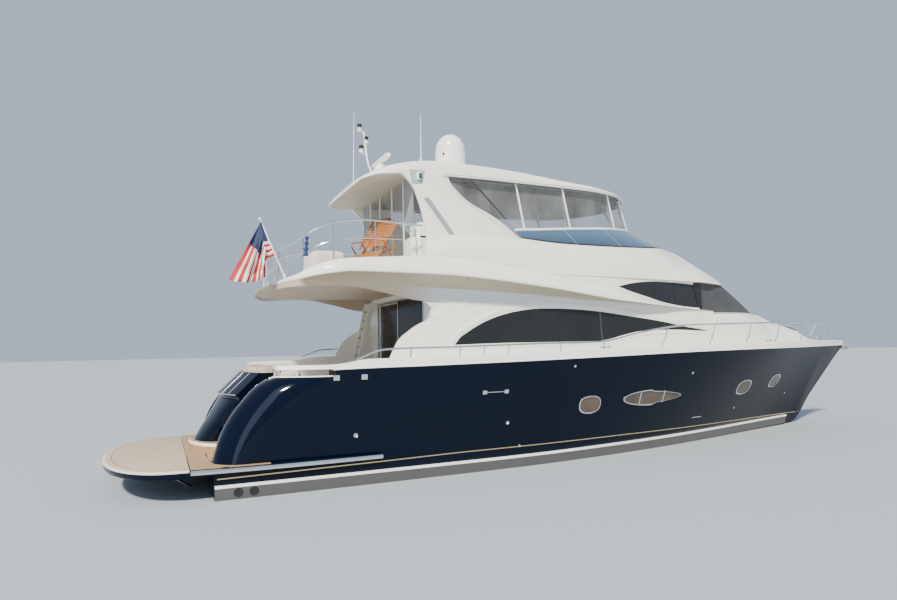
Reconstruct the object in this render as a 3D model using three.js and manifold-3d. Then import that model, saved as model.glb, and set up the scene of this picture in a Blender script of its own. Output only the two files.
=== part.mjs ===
// A flybridge motor yacht afloat, in millimetres: +X to the bow, +Y to port, +Z up.
// The origin is on the centreline at the waterline, amidships.
import * as THREE from "three";
import { mergeVertices } from "three/addons/utils/BufferGeometryUtils.js";
import Module from "manifold-3d";

const wasm = await Module();
wasm.setup();

// Driving dimensions
const GAP = 0.3; // left between pieces that touch
const TRANSOM_X = -9250;
const PLATFORM_Z = 620; // top of the teak on the swim platform
const JOINT_X = -9660; // between the fixed platform and the lift platform
const SOLE_Z = 1850; // cockpit and salon sole
const WELL_HALF = 2100; // half width of the cockpit and salon well
const WELL_AFT = -8150;
const WELL_FORE = 3000;
const FLY_SOLE_Z = 4450;
const BULKHEAD_X = -4750; // salon aft bulkhead

const yacht = new THREE.Group();
yacht.name = "motor_yacht";

// Finishes: colour, roughness, metalness, and opacity where it isn't 1
const FINISHES = {
  navy: [0x0b1733, 0.15, 0],
  gelcoat: [0xf1efe6, 0.3, 0],
  lining: [0xc9bfa8, 0.55, 0],
  teak: [0xb98a55, 0.7, 0],
  weathered_teak: [0xb9a48c, 0.8, 0],
  steel: [0xd2d4d6, 0.2, 1],
  bronze: [0xa9834a, 0.35, 1],
  dark_glass: [0x14181b, 0.05, 0],
  blue_glass: [0x49698f, 0.05, 0, 0.6],
  clear_panel: [0xd5dde0, 0.1, 0, 0.3],
  mesh_cover: [0x54575a, 0.9, 0],
  cushion: [0xd8cdb4, 0.8, 0],
  black: [0x1a1b1c, 0.5, 0],
  engine: [0xdedfda, 0.5, 0.3],
  cloth: [0xb73a44, 0.9, 0],
};

function materialOf(finish) {
  const [color, roughness, metalness, opacity = 1] = FINISHES[finish];
  return new THREE.MeshStandardMaterial({ color, roughness, metalness, opacity, transparent: opacity < 1 });
}

function add(name, geometry, finish, group = yacht) {
  const mesh = new THREE.Mesh(geometry, materialOf(finish));
  mesh.name = name;
  group.add(mesh);
  return mesh;
}

// Shapes: every builder returns a closed BufferGeometry with its faces out

function solidOf(geometry) {
  const plain = new THREE.BufferGeometry();
  plain.setAttribute("position", geometry.getAttribute("position").clone());
  plain.setIndex(geometry.index ? geometry.index.clone() : null);
  const merged = mergeVertices(plain, 1e-3);
  const vertProperties = new Float32Array(merged.attributes.position.array);
  const triVerts = new Uint32Array(merged.index.array);
  return new wasm.Manifold(new wasm.Mesh({ numProp: 3, vertProperties, triVerts }));
}

function geometryOf(solid) {
  const mesh = solid.getMesh();
  const geometry = new THREE.BufferGeometry();
  geometry.setAttribute("position", new THREE.BufferAttribute(mesh.vertProperties, 3));
  geometry.setIndex(new THREE.BufferAttribute(mesh.triVerts, 1));
  geometry.computeVertexNormals();
  return geometry;
}

const join = (...parts) => geometryOf(parts.map(solidOf).reduce((a, b) => a.add(b)));
const cut = (body, ...tools) => geometryOf(tools.map(solidOf).reduce((a, b) => a.subtract(b), solidOf(body)));

function signedArea(points) {
  return points.reduce((sum, p, i) => {
    const q = points[(i + 1) % points.length];
    return sum + (p.x * q.y - q.x * p.y) / 2;
  }, 0);
}

function volumeOf(positions, index) {
  const corner = (i) => new THREE.Vector3().fromArray(positions, 3 * i);
  let volume = 0;
  for (let i = 0; i < index.length; i += 3) {
    const [a, b, c] = [corner(index[i]), corner(index[i + 1]), corner(index[i + 2])];
    volume += a.dot(b.cross(c)) / 6;
  }
  return volume;
}

// Triangles over a simple outline, as index triples turning its own way; points on straight stretches stay
function fillOf(outline) {
  const turn = Math.sign(signedArea(outline));
  const area = (...corners) => signedArea(corners.map((i) => outline[i])) * turn;
  const left = outline.map((_, i) => i);
  const triangles = [];
  while (left.length > 3) {
    let best = { quality: 0 };
    left.forEach((b, n) => {
      const [a, c] = [left.at(n - 1), left[(n + 1) % left.length]];
      const size = area(a, b, c);
      const inside = (p) => area(a, b, p) > -1e-6 && area(b, c, p) > -1e-6 && area(c, a, p) > -1e-6;
      if (size < 1e-6 || left.some((p) => p !== a && p !== b && p !== c && inside(p))) return;
      const side = (i, j) => outline[i].distanceToSquared(outline[j]);
      const quality = size / Math.max(side(a, b), side(b, c), side(c, a));
      if (quality > best.quality) best = { quality, n, triangle: [a, b, c] };
    });
    if (!best.triangle) throw new Error("an end outline crosses itself");
    triangles.push(best.triangle);
    left.splice(best.n, 1);
  }
  return [...triangles, left];
}

// A skin through closed rings of [x, y, z] points, capped at its two ends; flat gives a point's two
// coordinates in the plane where the end rings are simple outlines. Each quad folds on its shorter diagonal.
function loft(rings, flat = (p) => [p[1], p[2]]) {
  const count = rings[0].length;
  const positions = rings.flat(2);
  const index = [];
  const far = (p, q) => Math.hypot(p[0] - q[0], p[1] - q[1], p[2] - q[2]);
  for (let i = 0; i + 1 < rings.length; i++) {
    for (let j = 0; j < count; j++) {
      const next = (j + 1) % count;
      const [a, b, c, d] = [i * count + j, i * count + next, (i + 1) * count + next, (i + 1) * count + j];
      const across = far(rings[i][j], rings[i + 1][next]) - far(rings[i][next], rings[i + 1][j]);
      if (across < 0) index.push(a, b, c, a, c, d);
      else index.push(a, b, d, b, c, d);
    }
  }
  [rings[0], rings.at(-1)].forEach((ring, end) => {
    const first = end ? (rings.length - 1) * count : 0;
    for (const triangle of fillOf(ring.map((p) => new THREE.Vector2(...flat(p))))) {
      const [a, b, c] = end ? triangle : [...triangle].reverse();
      index.push(first + a, first + b, first + c);
    }
  });
  if (volumeOf(positions, index) < 0) index.reverse();
  const geometry = new THREE.BufferGeometry();
  geometry.setAttribute("position", new THREE.Float32BufferAttribute(positions, 3));
  geometry.setIndex(index);
  geometry.computeVertexNormals();
  return geometry;
}

// A half section from the centreline outwards becomes a whole ring by mirroring it to port
function bothSides(half) {
  const starboard = half.map(([x, y, z]) => [x, -y, z]);
  const port = [...half].reverse().filter((p) => p[1] > 0);
  return [...starboard, ...port];
}

function mirrored(geometry) {
  const copy = geometry.index ? geometry.clone() : mergeVertices(geometry.clone());
  copy.scale(1, -1, 1);
  copy.index.array.reverse();
  return copy;
}

function pair(name, geometry, finish, group = yacht) {
  add(name + "_stb", geometry, finish, group);
  add(name + "_port", mirrored(geometry), finish, group);
}

// A copy shifted up or down by the gap, to cut away what would touch a neighbour from above or below
const raised = (geometry) => geometry.clone().translate(0, 0, GAP);
const lowered = (geometry) => geometry.clone().translate(0, 0, -GAP);

function box(x0, x1, y0, y1, z0, z1) {
  const geometry = new THREE.BoxGeometry(x1 - x0, y1 - y0, z1 - z0);
  return geometry.translate((x0 + x1) / 2, (y0 + y1) / 2, (z0 + z1) / 2);
}

// An outline in plan, as [x, y] points, pulled up from z0 to z1, leaning by lean along X for each unit up
function slab(outline, z0, z1, lean = 0) {
  const level = (z) => outline.map(([x, y]) => [x + lean * (z - z0), y, z]);
  return loft([level(z0), level(z1)], (p) => [p[0], p[1]]);
}

// An outline seen from the side, as [x, z] points, between two distances from the centreline
function plate(outline, y0, y1) {
  const at = (y) => outline.map(([x, z]) => [x, y, z]);
  return loft([at(y0), at(y1)], (p) => [p[0], p[2]]);
}

function rod(from, to, radius, sides = 8) {
  const [a, b] = [new THREE.Vector3(...from), new THREE.Vector3(...to)];
  const geometry = new THREE.CylinderGeometry(radius, radius, a.distanceTo(b), sides);
  const along = b.clone().sub(a).normalize();
  const turn = new THREE.Quaternion().setFromUnitVectors(new THREE.Vector3(0, 1, 0), along);
  return geometry.applyQuaternion(turn).translate(...a.add(b).multiplyScalar(0.5).toArray());
}

function pipe(points, radius, steps, sides = 8, closed = false) {
  const knots = points.map((p) => new THREE.Vector3(...p));
  const curve = new THREE.CatmullRomCurve3(knots, closed, "catmullrom", 0.3);
  const section = new THREE.Shape();
  for (let i = 0; i < sides; i++) {
    const angle = (2 * Math.PI * i) / sides;
    section[i ? "lineTo" : "moveTo"](radius * Math.cos(angle), radius * Math.sin(angle));
  }
  return new THREE.ExtrudeGeometry(section, { steps, extrudePath: curve, bevelEnabled: false });
}

function turned(profile, sides = 20) {
  const points = profile.map(([r, z]) => new THREE.Vector2(r, z));
  return new THREE.LatheGeometry(points, sides).rotateX(Math.PI / 2);
}

// Straight-line reading of one column of a table whose rows start with x
function reading(table, x, column) {
  if (x <= table[0][0]) return table[0][column];
  const i = table.findIndex((row) => row[0] >= x);
  if (i < 0) return table.at(-1)[column];
  const share = (x - table[i - 1][0]) / (table[i][0] - table[i - 1][0]);
  return THREE.MathUtils.lerp(table[i - 1][column], table[i][column], share);
}

// Hull lines at stations from the transom to the stem
const HULL = [
  // x, half beam at sheer, sheer z, half beam at chine, chine z, keel z, flare of the topsides
  [-9250, 2640, 2250, 2430, 0, -750, 1],
  [-8200, 2660, 2280, 2430, 0, -800, 1],
  [-7000, 2680, 2330, 2420, 0, -860, 1],
  [-5000, 2730, 2360, 2380, 0, -950, 1],
  [-2500, 2750, 2400, 2300, 0, -1060, 1.05],
  [-200, 2750, 2450, 2080, 10, -1150, 1.1],
  [2000, 2720, 2500, 1740, 20, -1200, 1.15],
  [4200, 2580, 2530, 1270, 30, -1180, 1.2],
  [6000, 2300, 2540, 840, 40, -1080, 1.25],
  [7500, 1900, 2545, 480, 50, -850, 1.25],
  [8600, 1500, 2550, 240, 60, -480, 1.25],
  [9250, 1220, 2550, 110, 80, 30, 1.2],
  [10200, 830, 2550, 70, 960, 900, 1.1],
  [11100, 420, 2550, 45, 1780, 1720, 1],
  [11700, 130, 2550, 30, 2330, 2270, 1],
  [12000, 30, 2550, 20, 2540, 2520, 1],
];
const RAIL_TOP = 270; // spray rail's top above the chine
const TOPSIDE_STEPS = [0.3, 0.55, 0.78, 1];

// Half breadth of the topsides at a height
function hullSide(row, z) {
  const [, sheerY, sheerZ, chineY, chineZ, , flare] = row;
  const share = Math.max(0, (z - chineZ) / (sheerZ - chineZ));
  return chineY + (sheerY - chineY) * share ** flare;
}

const sheerAt = (x) => reading(HULL, x, 2);
const beamAt = (x) => reading(HULL, x, 1);

function hullRing(row, margin = 0) {
  const [x, , sheerZ, chineY, chineZ, keelZ] = row;
  const stripZ = Math.min(chineZ + RAIL_TOP, (chineZ + sheerZ) / 2);
  const half = [[x, 0, keelZ], [x, chineY + margin, chineZ], [x, hullSide(row, stripZ) + margin, stripZ]];
  for (const step of TOPSIDE_STEPS) {
    const z = stripZ + (sheerZ - stripZ) * step;
    half.push([x, hullSide(row, z) + margin, z]);
  }
  half.push([x, 0, sheerZ]);
  return bothSides(half);
}

// What the rounded, raked quarters leave: everything abaft them, above the platform
const QUARTER_REACH = 1400; // along X, of the quarter's curve in plan
const WING_END = 2000;
const WING_INNER = 1880;
const STEPS_INNER = 1180;
const WING_TOP = 2210;
const RAKE = [
  // z, x where the quarter ends
  [PLATFORM_Z, -9250], [970, -9150], [1320, -9000], [1790, -8660], [2150, -8250], [WING_TOP, -8120],
  [3400, -8120],
];

function sternCutter(inset = 0) {
  const level = ([z, end]) => {
    const start = end + QUARTER_REACH + inset;
    const side = [];
    for (let i = 0; i <= 8; i++) {
      const angle = (Math.PI / 2) * (i / 8);
      side.push([start - QUARTER_REACH * Math.sin(angle), -WING_END - (2690 - WING_END) * Math.cos(angle), z]);
    }
    const starboard = [[-11500, -3300, z], [start, -3300, z], ...side];
    return [...starboard, ...[...starboard].reverse().map(([x, y]) => [x, -y, z])];
  };
  return loft(RAKE.map(level), (p) => [p[0], p[1]]);
}

// The slot through each bulwark, under its cap; the wing abaft it ends at the same height
const SLOT = { x0: -8000, x1: -7080, z0: WING_TOP, z1: 2350 };
const slots = [-1, 1].map((side) =>
  box(SLOT.x0, SLOT.x1, side > 0 ? 2000 : -3000, side > 0 ? 3000 : -2000, SLOT.z0, SLOT.z1),
);

const SHAFT_Y = 1050;
const SHAFT_ANGLE = THREE.MathUtils.degToRad(8);
const PROP = { x: -8650, z: -1050, radius: 410, hub: 105, bore: 39.2 };
const RUDDER = { x: -9020, topZ: -700, bottomZ: -1480 };

const hullBody = loft(HULL.map((row) => hullRing(row)));
const STERN_X = WELL_AFT - 50; // front of the steps and of the pod's foot
const SHIP_HALF = 3300;
const sternWell = box(-9600, STERN_X, -SHIP_HALF, SHIP_HALF, PLATFORM_Z, 3000);
const wellPocket = box(STERN_X - 1, WELL_FORE, -SHIP_HALF, SHIP_HALF, SOLE_Z, 3000);
const enginePocket = box(-7300, -3200, -1600, 1600, -150, SOLE_Z);
const rudderBoss = (side) => rod(
  [RUDDER.x, side * SHAFT_Y, -300],
  [RUDDER.x, side * SHAFT_Y, RUDDER.topZ + 60],
  110,
  16,
);
const stockHole = (side) => rod([RUDDER.x, side * SHAFT_Y, -700], [RUDDER.x, side * SHAFT_Y, -540], 40.2, 16);
const hull = cut(
  join(hullBody, rudderBoss(-1), rudderBoss(1)),
  stockHole(-1),
  stockHole(1),
  sternWell,
  wellPocket,
  enginePocket,
);
add("hull", hull, "navy");

// The hull's sides around the cockpit and the salon, running aft as the raked wings on the platform
const hullSideBlank = cut(
  hullBody,
  box(-10000, STERN_X, -SHIP_HALF, SHIP_HALF, -2000, PLATFORM_Z + GAP),
  box(STERN_X - GAP, 13000, -SHIP_HALF, SHIP_HALF, -2000, SOLE_Z + GAP),
  box(WELL_FORE - GAP, 13000, -SHIP_HALF, SHIP_HALF, 0, 3000),
  box(STERN_X - 1, 13000, -WELL_HALF, SHIP_HALF, 0, 3000),
  box(-10000, STERN_X, -WING_INNER, SHIP_HALF, 0, 3000),
  box(-10000, SLOT.x1, -SHIP_HALF, SHIP_HALF, WING_TOP, 3000),
  sternCutter(),
);
pair("hull_side", hullSideBlank, "navy");
const engine = box(-6400, -4200, -1450, -500, -150 + GAP, 950);
pair("engine", engine, "engine");

// Metal spray rail along each chine, its top edge pale
const sprayRail = loft(
  HULL.filter(([x]) => x < 9000).map((row) => {
    const [x, , , chineY, chineZ] = row;
    const topZ = chineZ + RAIL_TOP;
    const topY = hullSide(row, topZ);
    return [
      [x, -chineY + 20, chineZ],
      [x, -chineY - 75, chineZ - 15],
      [x, -topY - 70, topZ - 35],
      [x, -topY - 45, topZ],
      [x, -topY + 20, topZ],
    ];
  }),
);
const hullGrown = loft(HULL.map((row, i) => hullRing([row[0] - (i ? 0 : GAP), ...row.slice(1)], GAP)));
add("spray_rail_stb", cut(sprayRail, hullGrown), "steel");
add("spray_rail_port", cut(mirrored(sprayRail), hullGrown), "steel");

// Shafts in their brackets, propellers and rudders
const hullBelow = hullBody.clone().translate(0, 0, -0.5);
for (const [side, sideName] of [[-1, "stb"], [1, "port"]]) {
  const y = side * SHAFT_Y;
  const alongShaft = (distance) => [
    PROP.x + distance * Math.cos(SHAFT_ANGLE),
    y,
    PROP.z + distance * Math.sin(SHAFT_ANGLE),
  ];
  const shaft = rod(alongShaft(-140), alongShaft(3700), 38, 12);
  const barrel = rod(alongShaft(190), alongShaft(480), 80, 12);
  const arm = plate([[-8430, -1000], [-8230, -1000], [-8130, -300], [-8330, -300]], y - 20, y + 20);
  const bossTube = rod(alongShaft(2700), alongShaft(3700), 95, 12);
  add("shaft_" + sideName, cut(join(shaft, barrel, arm, bossTube), hullBelow), "bronze");

  const propeller = new THREE.Group();
  propeller.position.set(PROP.x, y, PROP.z);
  propeller.rotation.y = -SHAFT_ANGLE;
  yacht.add(propeller);
  const hub = turned(
    [
      [PROP.bore, -130], [PROP.hub * 0.8, -130], [PROP.hub, 0],
      [PROP.hub, 130], [PROP.bore, 130], [PROP.bore, -130],
    ],
  );
  hub.rotateY(Math.PI / 2);
  const blades = [];
  for (let i = 0; i < 4; i++) blades.push(propellerBlade(side).rotateX((i * Math.PI) / 2));
  add("propeller_" + sideName, join(hub, ...blades), "bronze", propeller);

  const blade = loft(
    [[RUDDER.topZ - 30, 240, 190, 34], [-1100, 240, 170, 30], [RUDDER.bottomZ, 200, 110, 22]].map(
      ([z, aft, fore, thick]) => [
        [RUDDER.x - aft, y, z],
        [RUDDER.x - 60, y - thick, z],
        [RUDDER.x + fore * 0.6, y - thick, z],
        [RUDDER.x + fore, y, z],
        [RUDDER.x + fore * 0.6, y + thick, z],
        [RUDDER.x - 60, y + thick, z],
      ],
    ),
    (p) => [p[0], p[1]],
  );
  const stock = rod([RUDDER.x, y, -546], [RUDDER.x, y, RUDDER.topZ - 60], 39.3, 16);
  add("rudder_" + sideName, join(blade, stock), "bronze");
}

// One propeller blade standing up along Z, pitched about its own axis, as wide as its radius asks
function propellerBlade(side) {
  const sections = [
    // radius, half chord, half thickness, pitch in degrees
    [80, 95, 22, 62],
    [200, 150, 14, 45],
    [320, 150, 9, 34],
    [PROP.radius, 70, 5, 28],
  ];
  return loft(
    sections.map(([radius, chord, thick, degrees]) => {
      const pitch = THREE.MathUtils.degToRad(degrees) * side;
      const [c, s] = [Math.cos(pitch), Math.sin(pitch)];
      const corners = [[-chord, 0], [0, -thick], [chord, 0], [0, thick]];
      return corners.map(([u, v]) => [-u * s + v * c, u * c + v * s, radius]);
    }),
    (p) => [p[0], p[1]],
  );
}

// Main deck moulding: the foredeck, and a side deck along each side with its toe rail; aft it tapers to the
// cap over the mooring slot
const DECK_THICK = 140;
const TOE_RAIL = 25;
const CAP = { end: -8060, flat: -6900, rise: -6160, z: 2440 };
const railTopZ = (x) => {
  const full = sheerAt(x) + DECK_THICK + TOE_RAIL;
  const share = THREE.MathUtils.smoothstep(x, CAP.flat, CAP.rise);
  return THREE.MathUtils.lerp(CAP.z, full, share);
};
const capStations = [CAP.end, ...HULL.map(([x]) => x), CAP.flat, -6500, CAP.rise]
  .filter((x) => x >= CAP.end)
  .sort((a, b) => a - b);
const deckPlate = loft(
  capStations.map((station) => {
    const x = Math.min(station, 11990);
    const [beam, sheer] = [beamAt(x), sheerAt(x) + GAP];
    const rail = Math.min(75, beam * 0.45);
    const deckZ = railTopZ(x) - TOE_RAIL;
    return bothSides([
      [x, 0, sheer],
      [x, beam, sheer],
      [x, beam - Math.min(12, beam * 0.2), deckZ + TOE_RAIL],
      [x, beam - rail, deckZ + TOE_RAIL],
      [x, beam - rail - Math.min(10, beam * 0.1), deckZ],
      [x, 0, deckZ + 5],
    ]);
  }),
);
const well = box(-9800, WELL_FORE, -WELL_HALF, WELL_HALF, SOLE_Z, 3200);
const mainDeck = cut(deckPlate, ...slots, well, sternCutter(10));
const half = GAP / 2;
add("main_deck", cut(mainDeck, box(-10000, WELL_FORE + half, -SHIP_HALF, SHIP_HALF, 2000, 3200)), "gelcoat");
const sideDeck = cut(
  mainDeck,
  box(WELL_FORE - half, 13000, -SHIP_HALF, SHIP_HALF, 2000, 3200),
  box(-10000, 13000, 0, SHIP_HALF, 2000, 3200),
);
pair("side_deck", sideDeck, "gelcoat");

// Fixed swim platform across the transom, running forward along each side as the rub rail
const platformSide = [[JOINT_X, 2560], [TRANSOM_X, 2590], [-8000, 2620], [-7000, 2600], [-6050, 2560]];
const platformOuter = platformSide.map(([x, y]) => [x, -y]);
const platformPort = platformOuter.map(([x, y]) => [x, -y]).reverse();
const platformOutline = [...platformOuter, [-6050, -2300], [-6050, 2300], ...platformPort];
const platformBlank = slab(platformOutline, 490, PLATFORM_Z - GAP);
add("swim_platform", cut(platformBlank, hullGrown), "teak");

// Transom moulding: steps on each side and the pod between them, on its plinth, with the pod's lid
const STEPS = 4;
const STEP_RUN = 270;
const stepRise = (SOLE_Z - PLATFORM_Z) / STEPS;
const podFront = STERN_X - GAP;
const stepProfile = [[podFront, PLATFORM_Z + GAP]];
for (let i = STEPS - 1; i >= 1; i--) {
  const x = podFront - STEP_RUN * (STEPS - 1 - i);
  stepProfile.push([x, PLATFORM_Z + stepRise * i], [x - STEP_RUN, PLATFORM_Z + stepRise * i]);
}
stepProfile.push([podFront - STEP_RUN * (STEPS - 1), PLATFORM_Z + GAP]);
const steps = plate(dedupe(stepProfile), -WING_INNER + GAP, -1000);

function dedupe(points) {
  return points.filter((p, i) => !i || p[0] !== points[i - 1][0] || p[1] !== points[i - 1][1]);
}

// An outline in plan whose after edge bows aft from its corners to the centreline
function bowed(z, aft, corner, halfWidth) {
  const edge = [];
  for (let i = -4; i <= 4; i++) edge.push([aft + (corner - aft) * (i / 4) ** 2, (halfWidth * i) / 4, z]);
  return [[podFront, -halfWidth, z], ...edge, [podFront, halfWidth, z]];
}
const POD = [
  // z, aft x on the centreline, aft x at the corners, half width
  [840, -9470, -9250, 700],
  [1080, -9330, -9130, 800],
  [1310, -9180, -8980, 920],
  [1510, -9060, -8880, 1040],
  [1730, -8925, -8725, 1150],
];
const PLINTH_TOP = 850;
const inPlan = (p) => [p[0], p[1]];
const plinth = loft([PLATFORM_Z + GAP, PLINTH_TOP].map((z) => bowed(z, -9570, -9150, 1100)), inPlan);
const podLower = loft(POD.map((row) => bowed(...row)), inPlan);
const LID = {
  half: 1150, footX: -8930, footZ: 1790, topX: -8450, topZ: 2250, footBow: 265, topBow: 265, thick: 40,
};
const POD_HEAD = { x: -7960, z: 2400 };
const across = (y) => (y / LID.half) ** 2;
const lidTop = (y) => LID.topX + LID.topBow * across(y);
const lidFoot = (y) => LID.footX + LID.footBow * across(y);
const lidStations = (halfWidth) => [-halfWidth, -870, -580, -290, 0, 290, 580, 870, halfWidth];
const onEdge = (p) => [p[0], p[2]];
const podBox = loft(
  lidStations(LID.half + 20).map((y) => [
    [podFront, y, 1720],
    [podFront, y, SOLE_Z + GAP],
    [POD_HEAD.x, y, SOLE_Z + GAP],
    [POD_HEAD.x, y, POD_HEAD.z],
    [lidTop(y) + 120, y, POD_HEAD.z],
    [lidTop(y) + 34, y, LID.topZ + 80],
    [lidTop(y) + 30, y, LID.topZ],
    [lidTop(y), y, LID.topZ],
    [lidFoot(y), y, LID.footZ],
    [lidFoot(y) + 20, y, 1720],
  ]),
  onEdge,
);
add("transom_pod", join(steps, mirrored(steps), plinth, podLower, podBox), "navy");
const slope = Math.atan2(LID.topZ - LID.footZ, LID.topX - LID.footX);
const offSlope = (x, y, z, away) => [x - away * Math.sin(slope), y, z + away * Math.cos(slope)];
const lid = loft(
  lidStations(LID.half - 20).map((y) => [
    offSlope(lidFoot(y), y, LID.footZ, 0.6),
    offSlope(lidTop(y), y, LID.topZ, 0.6),
    offSlope(lidTop(y), y, LID.topZ, LID.thick),
    offSlope(lidFoot(y), y, LID.footZ, LID.thick),
  ]),
  onEdge,
);
add("locker_lid", lid, "navy");

// Lift platform: a D-shaped teak deck on two arms that swing from the transom
const liftOutline = [];
for (let i = 0; i <= 16; i++) {
  const angle = Math.PI * (i / 16) - Math.PI / 2;
  const reach = 1540 * Math.cos(angle) ** 0.75;
  liftOutline.push([JOINT_X - 10 - reach, 2550 * Math.sin(angle)]);
}
const LIFT = { pivotX: -9330, pivotZ: -190, arm: 800, rise: THREE.MathUtils.degToRad(35), y: 900 };
const LIFT_UNDER = 460;
const armEnd = [LIFT.pivotX - LIFT.arm * Math.cos(LIFT.rise), LIFT.pivotZ + LIFT.arm * Math.sin(LIFT.rise)];
const acrossAt = ([x, z], y0, y1, radius) => rod([x, y0, z], [x, y1, z], radius, 24);
const sides = [-1, 1];
const armParts = sides.flatMap((side) => [
  rod([LIFT.pivotX, side * LIFT.y, LIFT.pivotZ], [armEnd[0], side * LIFT.y, armEnd[1]], 36, 10),
  acrossAt([LIFT.pivotX, LIFT.pivotZ], side * LIFT.y - 80, side * LIFT.y + 80, 18),
]);
add("lift_arms", join(...armParts, acrossAt(armEnd, -LIFT.y - 90, LIFT.y + 90, 30)), "steel");
const lugPlaces = sides.flatMap((side) => [-56, 56].map((edge) => side * LIFT.y + edge));
const platformLugs = lugPlaces.map((y) => (
  box(armEnd[0] - 55, armEnd[0] + 55, y - 12, y + 12, armEnd[1] - 45, LIFT_UNDER + 20)
));
const liftDeck = join(slab(liftOutline, LIFT_UNDER, PLATFORM_Z), ...platformLugs);
add("lift_platform", cut(liftDeck, acrossAt(armEnd, -LIFT.y - 100, LIFT.y + 100, 30.9)), "weathered_teak");
const transomLugs = lugPlaces.map((y) => (
  box(LIFT.pivotX - 50, TRANSOM_X - GAP, y - 12, y + 12, LIFT.pivotZ - 60, LIFT.pivotZ + 60)
));
const transomPlate = box(TRANSOM_X - 16, TRANSOM_X - GAP, -1050, 1050, LIFT.pivotZ - 110, LIFT.pivotZ + 110);
const pinHole = acrossAt([LIFT.pivotX, LIFT.pivotZ], -1100, 1100, 18.9);
add("lift_brackets", cut(join(transomPlate, ...transomLugs), pinHole), "steel");

// Cockpit: settee along the pod, and a steep ladder up to the flybridge at the bulkhead on the port side
const setteeBack = POD_HEAD.x + GAP;
const setteeProfile = [
  [setteeBack, SOLE_Z + GAP], [-7480, SOLE_Z + GAP], [-7480, 2270],
  [-7750, 2290], [-7790, 2399], [setteeBack, 2399],
];
add("cockpit_settee", plate(setteeProfile, -1150, 1150), "cushion");
const FLY_STAIR = { x0: -5400, x1: -4890, y0: 1540, y1: 2040, top: 3950, treads: 8, half: 70, stringer: 35 };
const stringer = (y0, y1) => plate(
  [
    [FLY_STAIR.x0 - FLY_STAIR.half, SOLE_Z + GAP],
    [FLY_STAIR.x0 + FLY_STAIR.half, SOLE_Z + GAP],
    [FLY_STAIR.x1 + FLY_STAIR.half, FLY_STAIR.top],
    [FLY_STAIR.x1 - FLY_STAIR.half, FLY_STAIR.top],
  ],
  y0,
  y1,
);
const stairTreads = [];
for (let i = 1; i <= FLY_STAIR.treads; i++) {
  const z = THREE.MathUtils.lerp(SOLE_Z, FLY_STAIR.top, i / (FLY_STAIR.treads + 1));
  const x = THREE.MathUtils.mapLinear(z, SOLE_Z, FLY_STAIR.top, FLY_STAIR.x0, FLY_STAIR.x1);
  stairTreads.push(box(x - 60, x + 60, FLY_STAIR.y0 + 20, FLY_STAIR.y1 - 20, z - 15, z + 15));
}
add("fly_stairs", join(
  stringer(FLY_STAIR.y0, FLY_STAIR.y0 + FLY_STAIR.stringer),
  stringer(FLY_STAIR.y1 - FLY_STAIR.stringer, FLY_STAIR.y1),
  ...stairTreads,
), "lining");

// House sides: the outer face leans in with height and narrows forward
const HOUSE = [
  // x, half width at the deck
  [-5900, 2290],
  [-4600, 2330],
  [-1000, 2330],
  [1000, 2260],
  [2500, 2120],
  [4000, 1900],
];
const HOUSE_LEAN = 0.11;
const houseY = (x, z) => reading(HOUSE, x, 1) - HOUSE_LEAN * (z - 2600);

// A wall that follows houseY, between a lower and an upper line, as thick as wall
function sideWall(rows, wall) {
  return loft(
    rows.map(([x, low, high]) => {
      const mid = (low + high) / 2;
      return [
        [x, -houseY(x, low), low],
        [x, -houseY(x, mid), mid],
        [x, -houseY(x, high), high],
        [x, -houseY(x, high) + wall, high],
        [x, -houseY(x, mid) + wall, mid],
        [x, -houseY(x, low) + wall, low],
      ];
    }),
  );
}
const WALL = 70;
const SIDE_TOP = [
  // x, z: up the raked aft edge, then along under the fascia to the trunk
  [-5740, 2560], [-5580, 2850], [-5290, 3110], [-4760, 3410], [-4400, 3700], [-4380, 3722],
  [-100, 3722], [700, 3718], [1500, 3682], [2600, 3640], [3900, 3590],
];
const houseSideBlank = sideWall(
  [-5740, -5580, -5290, -4760, -4400, -4380, -2500, -1100, -100, 700, 1500, 2600, 3900].map((x) => [
    x,
    railTopZ(x) - 60,
    reading(SIDE_TOP, x, 1),
  ]),
  WALL,
);
const SALON_WINDOW = [
  // x, z from the low aft corner over the arch to the forward tip, and back along the lower edge
  [-4250, 2800], [-3950, 3060], [-3530, 3280], [-3000, 3460], [-2420, 3570], [-1610, 3605], [-380, 3550],
  [610, 3440],
  [1730, 3310], [2600, 3180], [3250, 3060], [2170, 3130], [1280, 3090], [430, 2960], [-380, 2830],
];
const salonHole = plate(SALON_WINDOW, -2600, -1500);
const houseSide = cut(houseSideBlank, salonHole);
const deckRaised = raised(mainDeck);
add("deckhouse_side_stb", cut(houseSide, deckRaised), "gelcoat");
add("deckhouse_side_port", cut(mirrored(houseSide), deckRaised), "gelcoat");

// An outline with each edge moved inwards
function inset(outline, distance) {
  const points = outline.map((p) => new THREE.Vector2(...p));
  const turn = Math.sign(signedArea(points));
  return points.map((p, i) => {
    const before = p.clone().sub(points.at(i - 1)).normalize();
    const after = points[(i + 1) % points.length].clone().sub(p).normalize();
    const normals = [before, after].map((d) => new THREE.Vector2(-d.y, d.x).multiplyScalar(turn));
    const middle = normals[0].clone().add(normals[1]).normalize();
    const moved = p.clone().addScaledVector(middle, distance / middle.dot(normals[0]));
    return moved.toArray();
  });
}

// Glass set in the thickness of a wall, inside its opening
function glassIn(outline, margin, thick, y) {
  const edge = inset(outline, margin);
  const at = (depth) => edge.map(([x, z]) => [x, -y(x, z) + depth, z]);
  return loft([at(20), at(20 + thick)], (p) => [p[0], p[2]]);
}
pair("salon_glass", glassIn(SALON_WINDOW, 0.6, 12, houseY), "dark_glass");

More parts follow.
